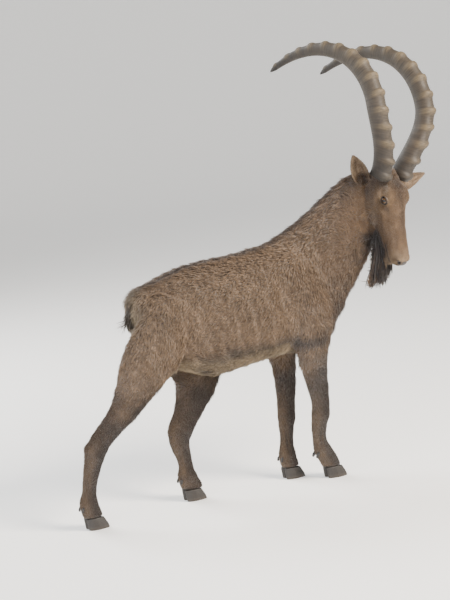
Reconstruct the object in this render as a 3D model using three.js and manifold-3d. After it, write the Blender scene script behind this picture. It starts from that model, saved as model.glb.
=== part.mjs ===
// A male alpine ibex at life size, stopped in mid-stride with its head turned to its right.
// Millimetres, +Z up. It walks towards +X, so its left side is +Y.
import * as THREE from "three";
import { mergeVertices } from "three/addons/utils/BufferGeometryUtils.js";
import Module from "manifold-3d";

const wasm = await Module();
wasm.setup();

// Driving dimensions
const gap = 0.3;
const hornLength = 876;
const hornDepth = 75;
const hornBreadth = 60;
const hornKnobs = 15;
const hornKnobHeight = 7;
const hornRootSpread = 65;
const hornTopSpread = 156;
const hornLean = 137;
const hornTurn = 153;
const earLength = 142;
const earWidth = 27;
const eyeRadius = 17;
const toeLength = 80;
const toeWidth = 31;
const coronetHeight = 44;
const kneeHeight = { fore_left: 226, fore_right: 246, hind_left: 236, hind_right: 246 };
const elbowHeight = 474;
const beardLocks = 14;

// Where the head sits: the middle between the horn roots, and how the head is turned
const headPlace = new THREE.Vector3(361, -164, 1072);
const headHeading = -65;
const headNod = 77;
const headRoll = -6.8;

// Surfaces
const coat = surface(0x8a7358, 0.9);
const legCoat = surface(0x4a3a2c, 0.9);
const hornSheath = surface(0x6f6252, 0.7);
const hoofHorn = surface(0x2b2622, 0.5);
const eyeBall = surface(0x8a5a1c, 0.15);

function surface(color, roughness) {
  return new THREE.MeshStandardMaterial({ color, roughness, metalness: 0 });
}

// Repeatable random numbers between 0 and 1
function seeded(seed) {
  let state = seed;
  return () => {
    state = (state * 16807) % 2147483647;
    return state / 2147483647;
  };
}

const radians = THREE.MathUtils.degToRad;
const vec = (x, y, z) => new THREE.Vector3(x, y, z);
const forwards = vec(1, 0, 0);
const backwards = vec(-1, 0, 0);
const upwards = vec(0, 0, 1);

// Values between landmarks follow a smooth curve through them
function blend(rows, t) {
  const last = rows.length - 1;
  const place = THREE.MathUtils.clamp(t, 0, 1) * last;
  const i = Math.min(Math.floor(place), last - 1);
  const u = place - i;
  const out = {};
  for (const key of Object.keys(rows[0])) {
    const a = rows[Math.max(i - 1, 0)][key];
    const b = rows[i][key];
    const c = rows[i + 1][key];
    const d = rows[Math.min(i + 2, last)][key];
    const cubic = 2 * a - 5 * b + 4 * c - d + u * (3 * (b - c) + d - a);
    out[key] = b + 0.5 * u * (c - a + u * cubic);
  }
  return out;
}

// A ring of points round a centre, with its own reach to the front, the back and the sides
function ring(centre, lead, side, reach, sides, square = 2.2) {
  const points = [];
  for (let i = 0; i < sides; i++) {
    const angle = (2 * Math.PI * i) / sides;
    const c = Math.cos(angle);
    const s = Math.sin(angle);
    const along = Math.sign(c) * Math.abs(c) ** (2 / square) * (c > 0 ? reach.front : reach.back);
    const across = Math.sign(s) * Math.abs(s) ** (2 / square) * reach.half;
    points.push(centre.clone().addScaledVector(lead, along).addScaledVector(side, across));
  }
  return points;
}

// A closed surface through a row of rings, with its ends filled
function loft(rings) {
  const sides = rings[0].length;
  const points = rings.flat();
  const index = [];
  for (let r = 0; r < rings.length - 1; r++) {
    for (let i = 0; i < sides; i++) {
      const a = r * sides + i;
      const b = r * sides + ((i + 1) % sides);
      index.push(a, b, a + sides, b, b + sides, a + sides);
    }
  }
  for (const [start, flip] of [[0, true], [(rings.length - 1) * sides, false]]) {
    const middle = points.length;
    const centre = vec(0, 0, 0);
    for (let i = 0; i < sides; i++) centre.addScaledVector(points[start + i], 1 / sides);
    points.push(centre);
    for (let i = 0; i < sides; i++) {
      const a = start + i;
      const b = start + ((i + 1) % sides);
      index.push(...(flip ? [b, a, middle] : [a, b, middle]));
    }
  }
  const geometry = new THREE.BufferGeometry().setFromPoints(points);
  geometry.setIndex(index);
  return geometry;
}

// A closed geometry as a solid for joining and cutting, turned to face outwards
function solid(geometry, matrix = new THREE.Matrix4()) {
  const bare = new THREE.BufferGeometry();
  bare.setAttribute("position", geometry.getAttribute("position").clone());
  if (geometry.index) bare.setIndex(geometry.index.clone());
  bare.applyMatrix4(matrix);
  const merged = mergeVertices(bare, 1e-3);
  const vertProperties = merged.getAttribute("position").array;
  const triVerts = new Uint32Array(merged.index.array);
  if (signedVolume(vertProperties, triVerts) < 0) triVerts.reverse();
  return new wasm.Manifold(new wasm.Mesh({ numProp: 3, vertProperties, triVerts }));
}

function signedVolume(position, triangles) {
  let volume = 0;
  const corner = (i) => vec().fromArray(position, 3 * triangles[i]);
  for (let i = 0; i < triangles.length; i += 3) {
    volume += corner(i).dot(corner(i + 1).cross(corner(i + 2)));
  }
  return volume;
}

// The largest closed piece of a solid
function largest(made) {
  const pieces = made.decompose();
  return pieces.reduce((best, piece) => (piece.volume() > best.volume() ? piece : best));
}

function joined(pieces) {
  return pieces.reduce((whole, piece) => whole.add(piece));
}

function mesh(name, made, material) {
  const cut = largest(made).getMesh();
  const geometry = new THREE.BufferGeometry();
  const position = new Float32Array(cut.numVert * 3);
  for (let i = 0; i < cut.numVert; i++) {
    position.set(cut.vertProperties.subarray(i * cut.numProp, i * cut.numProp + 3), i * 3);
  }
  geometry.setAttribute("position", new THREE.BufferAttribute(position, 3));
  geometry.setIndex(new THREE.BufferAttribute(cut.triVerts, 1));
  geometry.computeVertexNormals();
  const piece = new THREE.Mesh(geometry, material);
  piece.name = name;
  return piece;
}

// A box between two corners, turned about the Y axis and then carried to a point
function block(low, high, place = vec(0, 0, 0), turn = 0) {
  const size = high.clone().sub(low);
  const middle = low.clone().add(high).multiplyScalar(0.5);
  const matrix = new THREE.Matrix4().makeRotationY(radians(turn)).setPosition(place);
  matrix.multiply(new THREE.Matrix4().makeTranslation(middle.x, middle.y, middle.z));
  return solid(new THREE.BoxGeometry(size.x, size.y, size.z), matrix);
}

// A tapering body of upright sections: each row has the line of the back and of the belly
function trunkLoft(rows, count, sides, square, grow = 0) {
  const rings = [];
  for (let i = 0; i < count; i++) {
    const row = blend(rows, i / (count - 1));
    const back = vec(row.backX, row.y, row.backZ);
    const belly = vec(row.bellyX, row.y, row.bellyZ);
    const centre = back.clone().add(belly).multiplyScalar(0.5);
    const lead = back.clone().sub(belly).normalize();
    const side = vec(-Math.sin(radians(row.turn)), Math.cos(radians(row.turn)), 0);
    const deep = back.distanceTo(belly) / 2 + grow;
    const reach = { front: deep, back: deep, half: row.half + grow };
    rings.push(ring(centre, lead, side, reach, sides, square));
  }
  return loft(rings);
}

// A body of sections square to the line through the landmarks, with its front towards `lead`
function limbLoft(rows, count, sides, lead, grow = 0, square = 2.1) {
  const rings = [];
  const at = (t) => {
    const row = blend(rows, t);
    return vec(row.x, row.y, row.z);
  };
  for (let i = 0; i < count; i++) {
    const t = i / (count - 1);
    const row = blend(rows, t);
    const along = at(t + 0.01).sub(at(t - 0.01)).normalize();
    const front = lead.clone().addScaledVector(along, -lead.dot(along)).normalize();
    const side = along.clone().cross(front);
    const end = i === 0 ? -grow : i === count - 1 ? grow : 0;
    const reach = { front: row.front + grow, back: row.back + grow, half: row.half + grow };
    rings.push(ring(at(t).addScaledVector(along, end), front, side, reach, sides, square));
  }
  return loft(rings);
}

// Trunk: from the rump to the breast
const trunkRows = [
  { x: -647, top: 775, bottom: 705, half: 34 },
  { x: -634, top: 798, bottom: 650, half: 74 },
  { x: -597, top: 822, bottom: 580, half: 106 },
  { x: -520, top: 839, bottom: 520, half: 126 },
  { x: -430, top: 868, bottom: 478, half: 138 },
  { x: -320, top: 879, bottom: 462, half: 150 },
  { x: -200, top: 885, bottom: 475, half: 154 },
  { x: -90, top: 900, bottom: 486, half: 146 },
  { x: 0, top: 905, bottom: 488, half: 132 },
  { x: 85, top: 860, bottom: 500, half: 112 },
  { x: 138, top: 760, bottom: 528, half: 84 },
  { x: 160, top: 680, bottom: 575, half: 44 },
].map((row) => ({
  backX: row.x,
  backZ: row.top,
  bellyX: row.x,
  bellyZ: row.bottom,
  y: 0,
  half: row.half,
  turn: 0,
}));

// Neck: the crest and the throat line, bending to the animal's right
const neckRows = [
  { backX: -150, backZ: 880, bellyX: 40, bellyZ: 560, y: 0, half: 92, turn: 0 },
  { backX: -80, backZ: 906, bellyX: 118, bellyZ: 545, y: 0, half: 104, turn: 0 },
  { backX: 5, backZ: 943, bellyX: 185, bellyZ: 590, y: -4, half: 100, turn: -8 },
  { backX: 82, backZ: 996, bellyX: 232, bellyZ: 668, y: -18, half: 92, turn: -18 },
  { backX: 156, backZ: 1056, bellyX: 274, bellyZ: 742, y: -42, half: 82, turn: -30 },
  { backX: 226, backZ: 1112, bellyX: 306, bellyZ: 816, y: -74, half: 70, turn: -42 },
  { backX: 292, backZ: 1140, bellyX: 338, bellyZ: 900, y: -108, half: 60, turn: -52 },
];

// Fore leg: reach to the front, back and side at the blade, shoulder, upper arm, elbow, forearm
// in three steps, knee, cannon in two, fetlock, pastern and coronet
const foreReach = [
  [46, 56, 34],
  [84, 76, 46],
  [80, 78, 50],
  [60, 68, 46],
  [50, 54, 40],
  [43, 42, 34],
  [38, 36, 30],
  [38, 35, 30],
  [31, 31, 25],
  [27, 28, 22],
  [31, 34, 27],
  [37, 34, 31],
  [37, 30, 33],
];
const foreAside = [72, 92, 98, 98, 91, 84, 78, 73, 66, 60, 56, 53, 52];
const leftForePath = [
  [-40, 800],
  [-20, 690],
  [-6, 590],
  [-10, 500],
  [-10, 430],
  [-16, 350],
  [-25, 285],
  [-30, 240],
  [-38, 190],
  [-44, 140],
  [-49, 98],
  [-48, 64],
  [-44, 34],
];
const rightForePath = [
  [-10, 800],
  [14, 690],
  [28, 590],
  [20, 500],
  [24, 430],
  [34, 355],
  [41, 305],
  [40, 258],
  [33, 208],
  [33, 160],
  [43, 116],
  [62, 76],
  [79, 34],
];

// Hind leg: reach at the hip, thigh in three steps, stifle, gaskin in three, hock, cannon in two,
// fetlock, pastern and coronet
const hindReach = [
  [66, 72, 36],
  [118, 104, 56],
  [128, 112, 62],
  [98, 104, 60],
  [76, 80, 52],
  [56, 60, 44],
  [45, 46, 36],
  [42, 44, 32],
  [35, 38, 28],
  [30, 31, 24],
  [27, 28, 23],
  [31, 36, 28],
  [37, 35, 32],
  [37, 30, 33],
];
const hindAside = [76, 88, 92, 90, 86, 80, 72, 64, 58, 54, 50, 48, 47, 46];
const rightHindPath = [
  [-515, 780],
  [-556, 690],
  [-612, 600],
  [-656, 530],
  [-696, 468],
  [-736, 410],
  [-788, 360],
  [-844, 300],
  [-868, 240],
  [-884, 185],
  [-892, 138],
  [-897, 98],
  [-893, 64],
  [-886, 34],
];
const leftHindPath = [
  [-495, 780],
  [-464, 685],
  [-412, 590],
  [-376, 508],
  [-376, 436],
  [-400, 374],
  [-436, 316],
  [-470, 262],
  [-482, 222],
  [-476, 180],
  [-471, 138],
  [-470, 98],
  [-467, 64],
  [-460, 34],
];

// A leg that bears weight is stouter above the hock than one that trails
function limbRows(path, reaches, asides, sideSign, girth = 1) {
  return path.map(([x, z], i) => {
    const [front, back, half] = reaches[i];
    const stout = 1 + (girth - 1) * Math.max(0, 1 - i / 11);
    return { x, y: sideSign * asides[i], z, front: front * stout, back: back * stout, half };
  });
}

const legs = [
  { name: "fore_left", rows: limbRows(leftForePath, foreReach, foreAside, 1), side: 1, fore: true },
  { name: "fore_right", rows: limbRows(rightForePath, foreReach, foreAside, -1), side: -1, fore: true },
  { name: "hind_left", rows: limbRows(leftHindPath, hindReach, hindAside, 1, 1.38), side: 1, fore: false },
  { name: "hind_right", rows: limbRows(rightHindPath, hindReach, hindAside, -1, 0.9), side: -1, fore: false },
];

// Tail: short, hanging close behind the rump
const tailRows = [
  { x: -574, y: 0, z: 793, front: 14, back: 14, half: 22 },
  { x: -604, y: 0, z: 782, front: 17, back: 15, half: 25 },
  { x: -630, y: 0, z: 763, front: 16, back: 14, half: 24 },
  { x: -647, y: 0, z: 738, front: 13, back: 12, half: 20 },
  { x: -655, y: 0, z: 711, front: 8, back: 8, half: 12 },
  { x: -658, y: 0, z: 686, front: 2, back: 2, half: 3 },
];

// The whole body without its head, to be parted by thin cuts
const neckForm = (grow) => trunkLoft(neckRows, 14, 22, 2.15, grow);
const legForm = (leg, grow) => solid(limbLoft(leg.rows, 24, 14, forwards, grow));
const trunk = solid(trunkLoft(trunkRows, 26, 24, 2.25));
const body = joined([trunk, solid(neckForm(0)), ...legs.map((leg) => legForm(leg, 0))]);

// The cuts: a slanting one behind the neck, a level one at each elbow, a slanting one over the groin
const beyond = 1500;
const neckCutPlace = vec(50, 0, 720);
const neckCutTurn = -33;
const groin = vec(-320, 0, 462);
const groinCutTurn = 28;

function neckRegion(grow) {
  const low = vec(-grow, -beyond, -beyond);
  return block(low, vec(beyond, beyond, beyond), neckCutPlace, neckCutTurn);
}

// The space that one leg takes up, on its own side of the middle
function legRegion(leg, grow) {
  const [rear, front] = leg.fore ? [-150, 250] : [-900, 60];
  const inner = (gap - grow) / 2;
  const [right, left] = leg.side > 0 ? [inner, beyond] : [-beyond, -inner];
  const place = leg.fore ? vec(0, 0, elbowHeight) : groin;
  const turn = leg.fore ? 0 : groinCutTurn;
  return block(vec(rear, right, -900), vec(front, left, grow), place, turn);
}

const slice = (low, high) => block(vec(-beyond, -beyond, low), vec(beyond, beyond, high));

// The head, in its own frame: +X along the face to the nose, +Z up out of the forehead
const headRows = [
  { x: -60, y: 0, z: -42, front: 44, back: 44, half: 42 },
  { x: -38, y: 0, z: -38, front: 66, back: 62, half: 60 },
  { x: 0, y: 0, z: -36, front: 74, back: 78, half: 69 },
  { x: 40, y: 0, z: -34, front: 80, back: 86, half: 73 },
  { x: 75, y: 0, z: -32, front: 74, back: 84, half: 67 },
  { x: 115, y: 0, z: -30, front: 64, back: 74, half: 54 },
  { x: 155, y: 0, z: -27, front: 53, back: 60, half: 44 },
  { x: 195, y: 0, z: -24, front: 45, back: 50, half: 40 },
  { x: 236, y: 0, z: -22, front: 40, back: 45, half: 38 },
  { x: 270, y: 0, z: -23, front: 35, back: 42, half: 36 },
  { x: 289, y: 0, z: -27, front: 24, back: 32, half: 28 },
  { x: 297, y: 0, z: -30, front: 10, back: 14, half: 12 },
];
const headSolid = (grow) => solid(limbLoft(headRows, 28, 24, upwards, grow, 2.3));

const headPose = new THREE.Matrix4()
  .makeRotationZ(radians(headHeading))
  .multiply(new THREE.Matrix4().makeRotationX(radians(headRoll)))
  .multiply(new THREE.Matrix4().makeRotationY(radians(headNod)))
  .setPosition(headPlace);

// One horn: a long arc up, back and down, with knobs across its front
function horn(side) {
  const steps = hornKnobs * 3;
  const straightEnds = 0.056;
  const partedBy = 0.32;
  const point = vec(-24, 0, 4);
  const rings = [];
  for (let i = 0; i <= steps; i++) {
    const t = i / steps;
    const bent = t - straightEnds * Math.sin(2 * Math.PI * t);
    const angle = radians(hornLean + hornTurn * bent);
    const along = vec(Math.cos(angle), 0, Math.sin(angle));
    const front = vec(Math.sin(angle), 0, -Math.cos(angle));
    const parted = THREE.MathUtils.smoothstep(t, 0, partedBy) * (hornTopSpread - hornRootSpread);
    const centre = point.clone();
    centre.y = side * (hornRootSpread + parted);
    const narrowing = 0.22 * t + 1.24 * Math.max(0, t - 0.45) ** 1.3;
    const size = THREE.MathUtils.clamp(1.02 - narrowing, 0.06, 1);
    const knob = i % 3 === 1 ? hornKnobHeight * (1 - 0.6 * t) : 0;
    const depth = (hornDepth / 2) * size;
    const reach = { front: depth + knob, back: depth, half: (hornBreadth / 2) * size };
    rings.push(ring(centre, front, vec(0, 1, 0), reach, 10, 2.4));
    point.addScaledVector(along, hornLength / steps);
  }
  return solid(loft(rings));
}

// The left ear is turned forwards, the right one up and back
const earPoses = {
  left: { base: vec(4, 84, -57), out: vec(-0.23, 0.66, 0.72), opening: vec(0.15, -0.45, 0.85) },
  right: { base: vec(-38, -70, -66), out: vec(-0.51, -0.76, 0.4), opening: vec(0.3, -0.7, 0.62) },
};

// One ear: a pointed leaf rolled into a cup, thinner towards its tip
function ear(side) {
  const acrossSteps = 10;
  const lengthSteps = 8;
  const { base, out, opening } = side > 0 ? earPoses.left : earPoses.right;
  out.normalize();
  opening.addScaledVector(out, -opening.dot(out)).normalize();
  const sideways = out.clone().cross(opening);
  const rings = [];
  for (let i = 0; i <= lengthSteps; i++) {
    const t = i / lengthSteps;
    const width = earWidth * Math.sin(Math.PI * (0.22 + 0.76 * t)) ** 0.8 + 1.5;
    const curl = 1.9 - 1.1 * t;
    const wall = 3.2 - 1.6 * t;
    const centre = base.clone().addScaledVector(out, earLength * t);
    const points = [];
    for (const [radius, way] of [[width + wall, 1], [width, -1]]) {
      for (let j = 0; j <= acrossSteps; j++) {
        const a = way * curl * (2 * (j / acrossSteps) - 1);
        const p = centre.clone();
        p.addScaledVector(sideways, radius * Math.sin(a));
        p.addScaledVector(opening, width * 0.6 - radius * Math.cos(a));
        points.push(p);
      }
    }
    rings.push(points);
  }
  return solid(loft(rings));
}

const eyePlace = (side) => vec(60, side * 57, 8);

// A ball stretched to its own half sizes along each axis, turned to look along `facing`
function ball(place, halves, facing = upwards, segments = 12) {
  const turn = new THREE.Quaternion().setFromUnitVectors(upwards, facing.clone().normalize());
  const matrix = new THREE.Matrix4().compose(place, turn, halves);
  return solid(new THREE.SphereGeometry(1, segments, Math.round(segments * 0.7)), matrix);
}
const eye = (side, grow) => ball(eyePlace(side), vec(1, 1, 1).multiplyScalar(eyeRadius + grow));

// The lids: an oval fold round each eye
function lids(side) {
  const facing = vec(0.22, side, 0.2).normalize();
  const turn = new THREE.Quaternion().setFromUnitVectors(upwards, facing);
  const place = eyePlace(side).addScaledVector(facing, eyeRadius * 0.42);
  const matrix = new THREE.Matrix4().compose(place, turn, vec(1.12, 0.92, 1));
  return solid(new THREE.TorusGeometry(eyeRadius * 0.98, 4.6, 5, 16), matrix);
}

const brow = (side, grow) => ball(vec(42, side * 49, 18), vec(34, 20, 21).addScalar(grow));
const cheek = (side, grow) => ball(vec(62, side * 36, -62), vec(52, 30, 46).addScalar(grow));

// The bony rim over the eye, the cheek muscle, the chin, the pad round the nostril and the lids
function features(side) {
  const chin = ball(vec(262, side * 12, -58), vec(28, 16, 16));
  const nosePad = ball(vec(272, side * 18, -14), vec(22, 19, 24));
  return [brow(side, 0), cheek(side, 0), chin, nosePad, lids(side)];
}

// The line of the mouth: a shallow groove round the front and sides of the muzzle
function mouth() {
  const opening = 1.3;
  const depth = 4.5;
  const corner = vec(206, 0, -50);
  const slit = block(vec(0, -80, -opening), vec(120, 80, opening), corner, -3);
  return slit.subtract(headSolid(-depth));
}

// Each nostril: a slanting slot at the front of the muzzle
const nostril = (side) => ball(vec(286, side * 21, -10), vec(5, 9, 15), vec(0.5, side * 0.5, -0.7));

// A flat lock of hair that tapers to its tip and bends on the way
function lock(root, direction, bend, flat, length, width, thickness, grow) {
  const steps = 4;
  const lead = flat.clone().cross(direction).normalize();
  const rings = [];
  for (let i = 0; i <= steps; i++) {
    const t = i / steps;
    const centre = root.clone().addScaledVector(direction, (length + grow) * t);
    centre.addScaledVector(bend, length * 0.15 * t * t);
    const size = Math.max(Math.sin(Math.PI * (0.32 + 0.66 * t)), 0.08);
    const broad = (width / 2) * size + grow;
    const reach = { front: broad, back: broad, half: (thickness / 2) * size + grow };
    rings.push(ring(centre, lead, flat, reach, 4, 2));
  }
  return solid(loft(rings));
}

// Beard: locks hanging from the chin and along the jaw, the longest behind, round a short core
const beardRows = [
  { x: 172, y: 0, z: -60, front: 50, back: 56, half: 27 },
  { x: 205, y: 0, z: -78, front: 44, back: 46, half: 24 },
  { x: 238, y: 0, z: -92, front: 34, back: 32, half: 18 },
  { x: 268, y: 0, z: -104, front: 18, back: 16, half: 10 },
];
function beard(grow) {
  const random = seeded(41);
  const pieces = [solid(limbLoft(beardRows, 6, 12, upwards, grow))];
  for (let i = 0; i < beardLocks; i++) {
    const behind = i / (beardLocks - 1);
    const aside = ((i % 3) - 1) * 15 + (random() - 0.5) * 8;
    const root = vec(236 - 70 * behind, aside, -66 - 34 * behind + Math.abs(aside) * 0.3);
    const direction = vec(0.96, aside * 0.004, -0.18 - 0.12 * behind).normalize();
    const length = 74 + 128 * behind + 26 * (random() - 0.5);
    const bend = vec(0, (random() - 0.5) * 0.8, -0.25);
    const flat = vec(0, 1, 0.35 * (random() - 0.5)).normalize();
    const width = 25 + 8 * random();
    pieces.push(lock(root, direction, bend, flat, length, width, 11, grow));
  }
  return joined(pieces);
}

const headGroup = new THREE.Group();
headGroup.applyMatrix4(headPose);
const sides = [1, -1];
let headWhole = joined([headSolid(0), ...sides.flatMap(features), beard(0)]).subtract(mouth());
for (const side of sides) headWhole = headWhole.subtract(eye(side, gap)).subtract(nostril(side));
const headGrown = joined([headSolid(gap), beard(gap), cheek(1, gap), cheek(-1, gap)]);
const neckGrown = solid(neckForm(gap), headPose.clone().invert());
headGroup.add(mesh("head", headWhole, coat));
for (const [side, label] of [[1, "left"], [-1, "right"]]) {
  const hornCut = horn(side).subtract(headGrown).subtract(brow(side, gap));
  headGroup.add(mesh("horn_" + label, hornCut, hornSheath));
  headGroup.add(mesh("ear_" + label, largest(ear(side).subtract(headGrown).subtract(neckGrown)), coat));
  headGroup.add(mesh("eye_" + label, eye(side, 0), eyeBall));
}

// One toe: a blunt pointed hoof that stands flat on the floor
function toe(centre, side) {
  const rows = [
    { x: 0, y: 0, z: 0, front: 0.56, back: 0.44, half: 1 },
    { x: -1, y: 0, z: coronetHeight * 0.3, front: 0.53, back: 0.45, half: 1.02 },
    { x: -5, y: 0, z: coronetHeight * 0.7, front: 0.46, back: 0.43, half: 0.98 },
    { x: -9, y: 0, z: coronetHeight, front: 0.41, back: 0.39, half: 0.94 },
  ];
  const rings = rows.map((row) => {
    const points = [];
    for (let i = 0; i < 12; i++) {
      const a = (2 * Math.PI * i) / 12;
      const reach = Math.cos(a) > 0 ? row.front : row.back;
      const narrow = 1 - 0.3 * Math.max(0, Math.cos(a));
      const x = centre.x + row.x + toeLength * reach * Math.cos(a);
      const y = centre.y + side * 2 * Math.cos(a) + (toeWidth / 2) * row.half * narrow * Math.sin(a);
      points.push(vec(x, y, row.z));
    }
    return points;
  });
  return solid(loft(rings));
}

// Dew claws: two small cones behind each fetlock
function dewClaw(x, y, z, side) {
  const rows = [
    { x: x + 20, y: y + side * 10, z: z + 8, front: 8, back: 8, half: 9 },
    { x: x + 6, y: y + side * 14, z: z - 2, front: 7, back: 7, half: 8 },
    { x: x - 1, y: y + side * 16, z: z - 15, front: 4, back: 3, half: 5 },
  ];
  return solid(limbLoft(rows, 4, 7, forwards));
}

const ibex = new THREE.Group();
ibex.add(headGroup);
const neck = body.intersect(neckRegion(0)).subtract(headGrown.transform(headPose.elements));
ibex.add(mesh("neck", neck, coat));

const tail = (grow) => solid(limbLoft(tailRows, 12, 12, backwards, grow));
ibex.add(mesh("tail", tail(0), coat));

let torso = body.subtract(neckRegion(gap)).subtract(tail(gap));
for (const leg of legs) torso = torso.subtract(legRegion(leg, gap));
ibex.add(mesh("torso", torso, coat));

for (const leg of legs) {
  const part = largest(body.intersect(legRegion(leg, 0)));
  const knee = kneeHeight[leg.name];
  const upper = part.intersect(slice(knee + gap, beyond));
  const lower = part.intersect(slice(coronetHeight + gap, knee));
  ibex.add(mesh("leg_" + leg.name + "_upper", upper, legCoat));
  ibex.add(mesh("leg_" + leg.name + "_lower", lower, legCoat));
  const foot = leg.rows[leg.rows.length - 1];
  const fetlock = leg.rows[leg.rows.length - 3];
  const legGrown = legForm(leg, gap);
  for (const [side, label] of [[1, "a"], [-1, "b"]]) {
    const place = vec(foot.x + 8, foot.y + side * (toeWidth / 2 + 1.5), 0);
    ibex.add(mesh("toe_" + leg.name + "_" + label, toe(place, side), hoofHorn));
    const claw = dewClaw(fetlock.x - 34, fetlock.y, fetlock.z - 14, side);
    ibex.add(mesh("dewclaw_" + leg.name + "_" + label, claw.subtract(legGrown), hoofHorn));
  }
}

// The origin is on the floor, under the middle of the animal's bounding box
const box = new THREE.Box3().setFromObject(ibex, true);
const middle = box.getCenter(vec(0, 0, 0));
ibex.position.set(-middle.x, -middle.y, -box.min.z);

export default ibex;
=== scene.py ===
import math
import bmesh
import bpy
import numpy as np
from mathutils import Matrix, Quaternion, Vector
from mathutils.kdtree import KDTree


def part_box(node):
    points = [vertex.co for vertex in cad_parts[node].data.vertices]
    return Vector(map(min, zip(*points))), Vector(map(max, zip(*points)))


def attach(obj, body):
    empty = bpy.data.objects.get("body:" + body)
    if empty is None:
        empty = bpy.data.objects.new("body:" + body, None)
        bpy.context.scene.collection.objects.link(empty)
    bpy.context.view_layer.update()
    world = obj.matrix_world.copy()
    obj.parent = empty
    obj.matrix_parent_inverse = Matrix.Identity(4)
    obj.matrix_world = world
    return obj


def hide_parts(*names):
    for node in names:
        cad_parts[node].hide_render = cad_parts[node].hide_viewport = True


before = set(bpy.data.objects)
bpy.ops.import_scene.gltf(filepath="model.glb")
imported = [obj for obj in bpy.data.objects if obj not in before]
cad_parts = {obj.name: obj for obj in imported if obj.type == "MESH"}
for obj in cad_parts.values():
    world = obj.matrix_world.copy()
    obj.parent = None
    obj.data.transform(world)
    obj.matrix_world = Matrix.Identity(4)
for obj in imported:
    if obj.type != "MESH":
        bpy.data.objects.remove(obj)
fullTurn = 2 * math.pi
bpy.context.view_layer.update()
print("frame loaded:", len(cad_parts), "nodes")

# Landmarks are in millimetres from the floor under the withers: x forward, y left, z up
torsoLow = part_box("torso")[0]
floorPoint = Vector((torsoLow.x + 0.69409, torsoLow.y + 0.15398, 0))


def placed(x, y, z):
    return floorPoint + Vector((x, y, z)) / 1000


headSet = {"place": (361, -164, 1072), "heading": -65, "roll": -6.8, "nod": 77}
headPose = (
    Matrix.Translation(placed(*headSet["place"]))
    @ Matrix.Rotation(math.radians(headSet["heading"]), 4, "Z")
    @ Matrix.Rotation(math.radians(headSet["roll"]), 4, "X")
    @ Matrix.Rotation(math.radians(headSet["nod"]), 4, "Y")
)
headBack = np.array(headPose.inverted())


# Head frame, also in millimetres: x along the face to the nose, y left, z out of the forehead
def headSpot(x, y, z):
    return headPose @ (Vector((x, y, z)) / 1000)


def headCoords(points):
    return (points @ headBack[:3, :3].T + headBack[:3, 3]) * 1000


def bodyCoords(points):
    return (points - np.array(floorPoint)) * 1000


cameraSet = {
    "place": (-3145.9, -6166.0, 1800.0),
    "target": (-224, 100, 705),
    "roll": -5.6,  # the picture leans a little
    "lens": 113.5,
}
cameraData = bpy.data.cameras.new("camera")
cameraData.sensor_fit = "VERTICAL"
cameraData.sensor_height = 36
cameraData.lens = cameraSet["lens"]
camera = bpy.data.objects.new("camera", cameraData)
camera.location = placed(*cameraSet["place"])
gaze = placed(*cameraSet["target"]) - camera.location
camera.rotation_mode = "QUATERNION"
camera.rotation_quaternion = gaze.to_track_quat("-Z", "Y") @ Quaternion(
    (0, 0, 1), math.radians(cameraSet["roll"])
)
bpy.context.scene.collection.objects.link(camera)
bpy.context.scene.camera = camera


def linear(hexColour):
    rgb = [int(hexColour[i : i + 2], 16) / 255 for i in (1, 3, 5)]
    return [c / 12.92 if c <= 0.04045 else ((c + 0.055) / 1.055) ** 2.4 for c in rgb]


def colour(hexColour):
    return (*linear(hexColour), 1)


# Adds one node: settings are its properties; a socket takes a value, an output, or a node's first output
def addNode(tree, kind, settings={}, sockets={}):
    node = tree.nodes.new(kind)
    for name, value in settings.items():
        setattr(node, name, value)
    for key, value in sockets.items():
        if isinstance(value, bpy.types.Node):
            value = value.outputs[0]
        if isinstance(value, bpy.types.NodeSocket):
            tree.links.new(value, node.inputs[key])
        else:
            node.inputs[key].default_value = value
    return node


def setStops(ramp, stops):
    ends = ramp.elements
    ends[0].position, ends[1].position = stops[0][0], stops[-1][0]
    ends[0].color, ends[1].color = colour(stops[0][1]), colour(stops[-1][1])
    for place, tint in stops[1:-1]:
        ends.new(place).color = colour(tint)


def setCurve(mapping, places):
    curve = mapping.curves[0]
    curve.points[0].location, curve.points[1].location = places[0], places[-1]
    for place in places[1:-1]:
        curve.points.new(*place)
    mapping.update()


def newMaterial(name):
    material = bpy.data.materials.new(name)
    material.use_nodes = True
    material.node_tree.nodes.clear()
    return material, material.node_tree


mergeDistance = 0.00001  # points of a CAD node nearer than this are one


def meshOf(name, points, corners, sizes):
    mesh = bpy.data.meshes.new(name)
    mesh.vertices.add(len(points))
    mesh.vertices.foreach_set("co", np.ascontiguousarray(points, np.float32).ravel())
    mesh.loops.add(len(corners))
    mesh.loops.foreach_set("vertex_index", np.ascontiguousarray(corners, np.int32))
    mesh.polygons.add(len(sizes))
    mesh.polygons.foreach_set("loop_start", (np.cumsum(sizes) - sizes).astype(np.int32))
    mesh.polygons.foreach_set("use_smooth", np.ones(len(sizes), bool))
    mesh.update(calc_edges=True)
    return mesh


def addPiece(name, mesh, material, slot, *nodes):
    piece = bpy.data.objects.new(name, mesh)
    bpy.context.scene.collection.objects.link(piece)
    mesh.materials.clear()
    mesh.materials.append(material)
    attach(piece, "root")
    if nodes:
        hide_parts(*nodes)
    return piece


def evaluatedMesh(piece):
    bpy.context.view_layer.update()
    depsgraph = bpy.context.evaluated_depsgraph_get()
    return bpy.data.meshes.new_from_object(piece.evaluated_get(depsgraph))


def pointsOf(mesh):
    points = np.empty(len(mesh.vertices) * 3, np.float32)
    mesh.vertices.foreach_get("co", points)
    return points.reshape(-1, 3).astype(float)


def normalsOf(mesh):
    normals = np.empty(len(mesh.vertices) * 3, np.float32)
    mesh.vertex_normals.foreach_get("vector", normals)
    return normals.reshape(-1, 3).astype(float)


def edgesOf(mesh):
    edges = np.empty(len(mesh.edges) * 2, np.int32)
    mesh.edges.foreach_get("vertices", edges)
    return edges.reshape(-1, 2)


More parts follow.
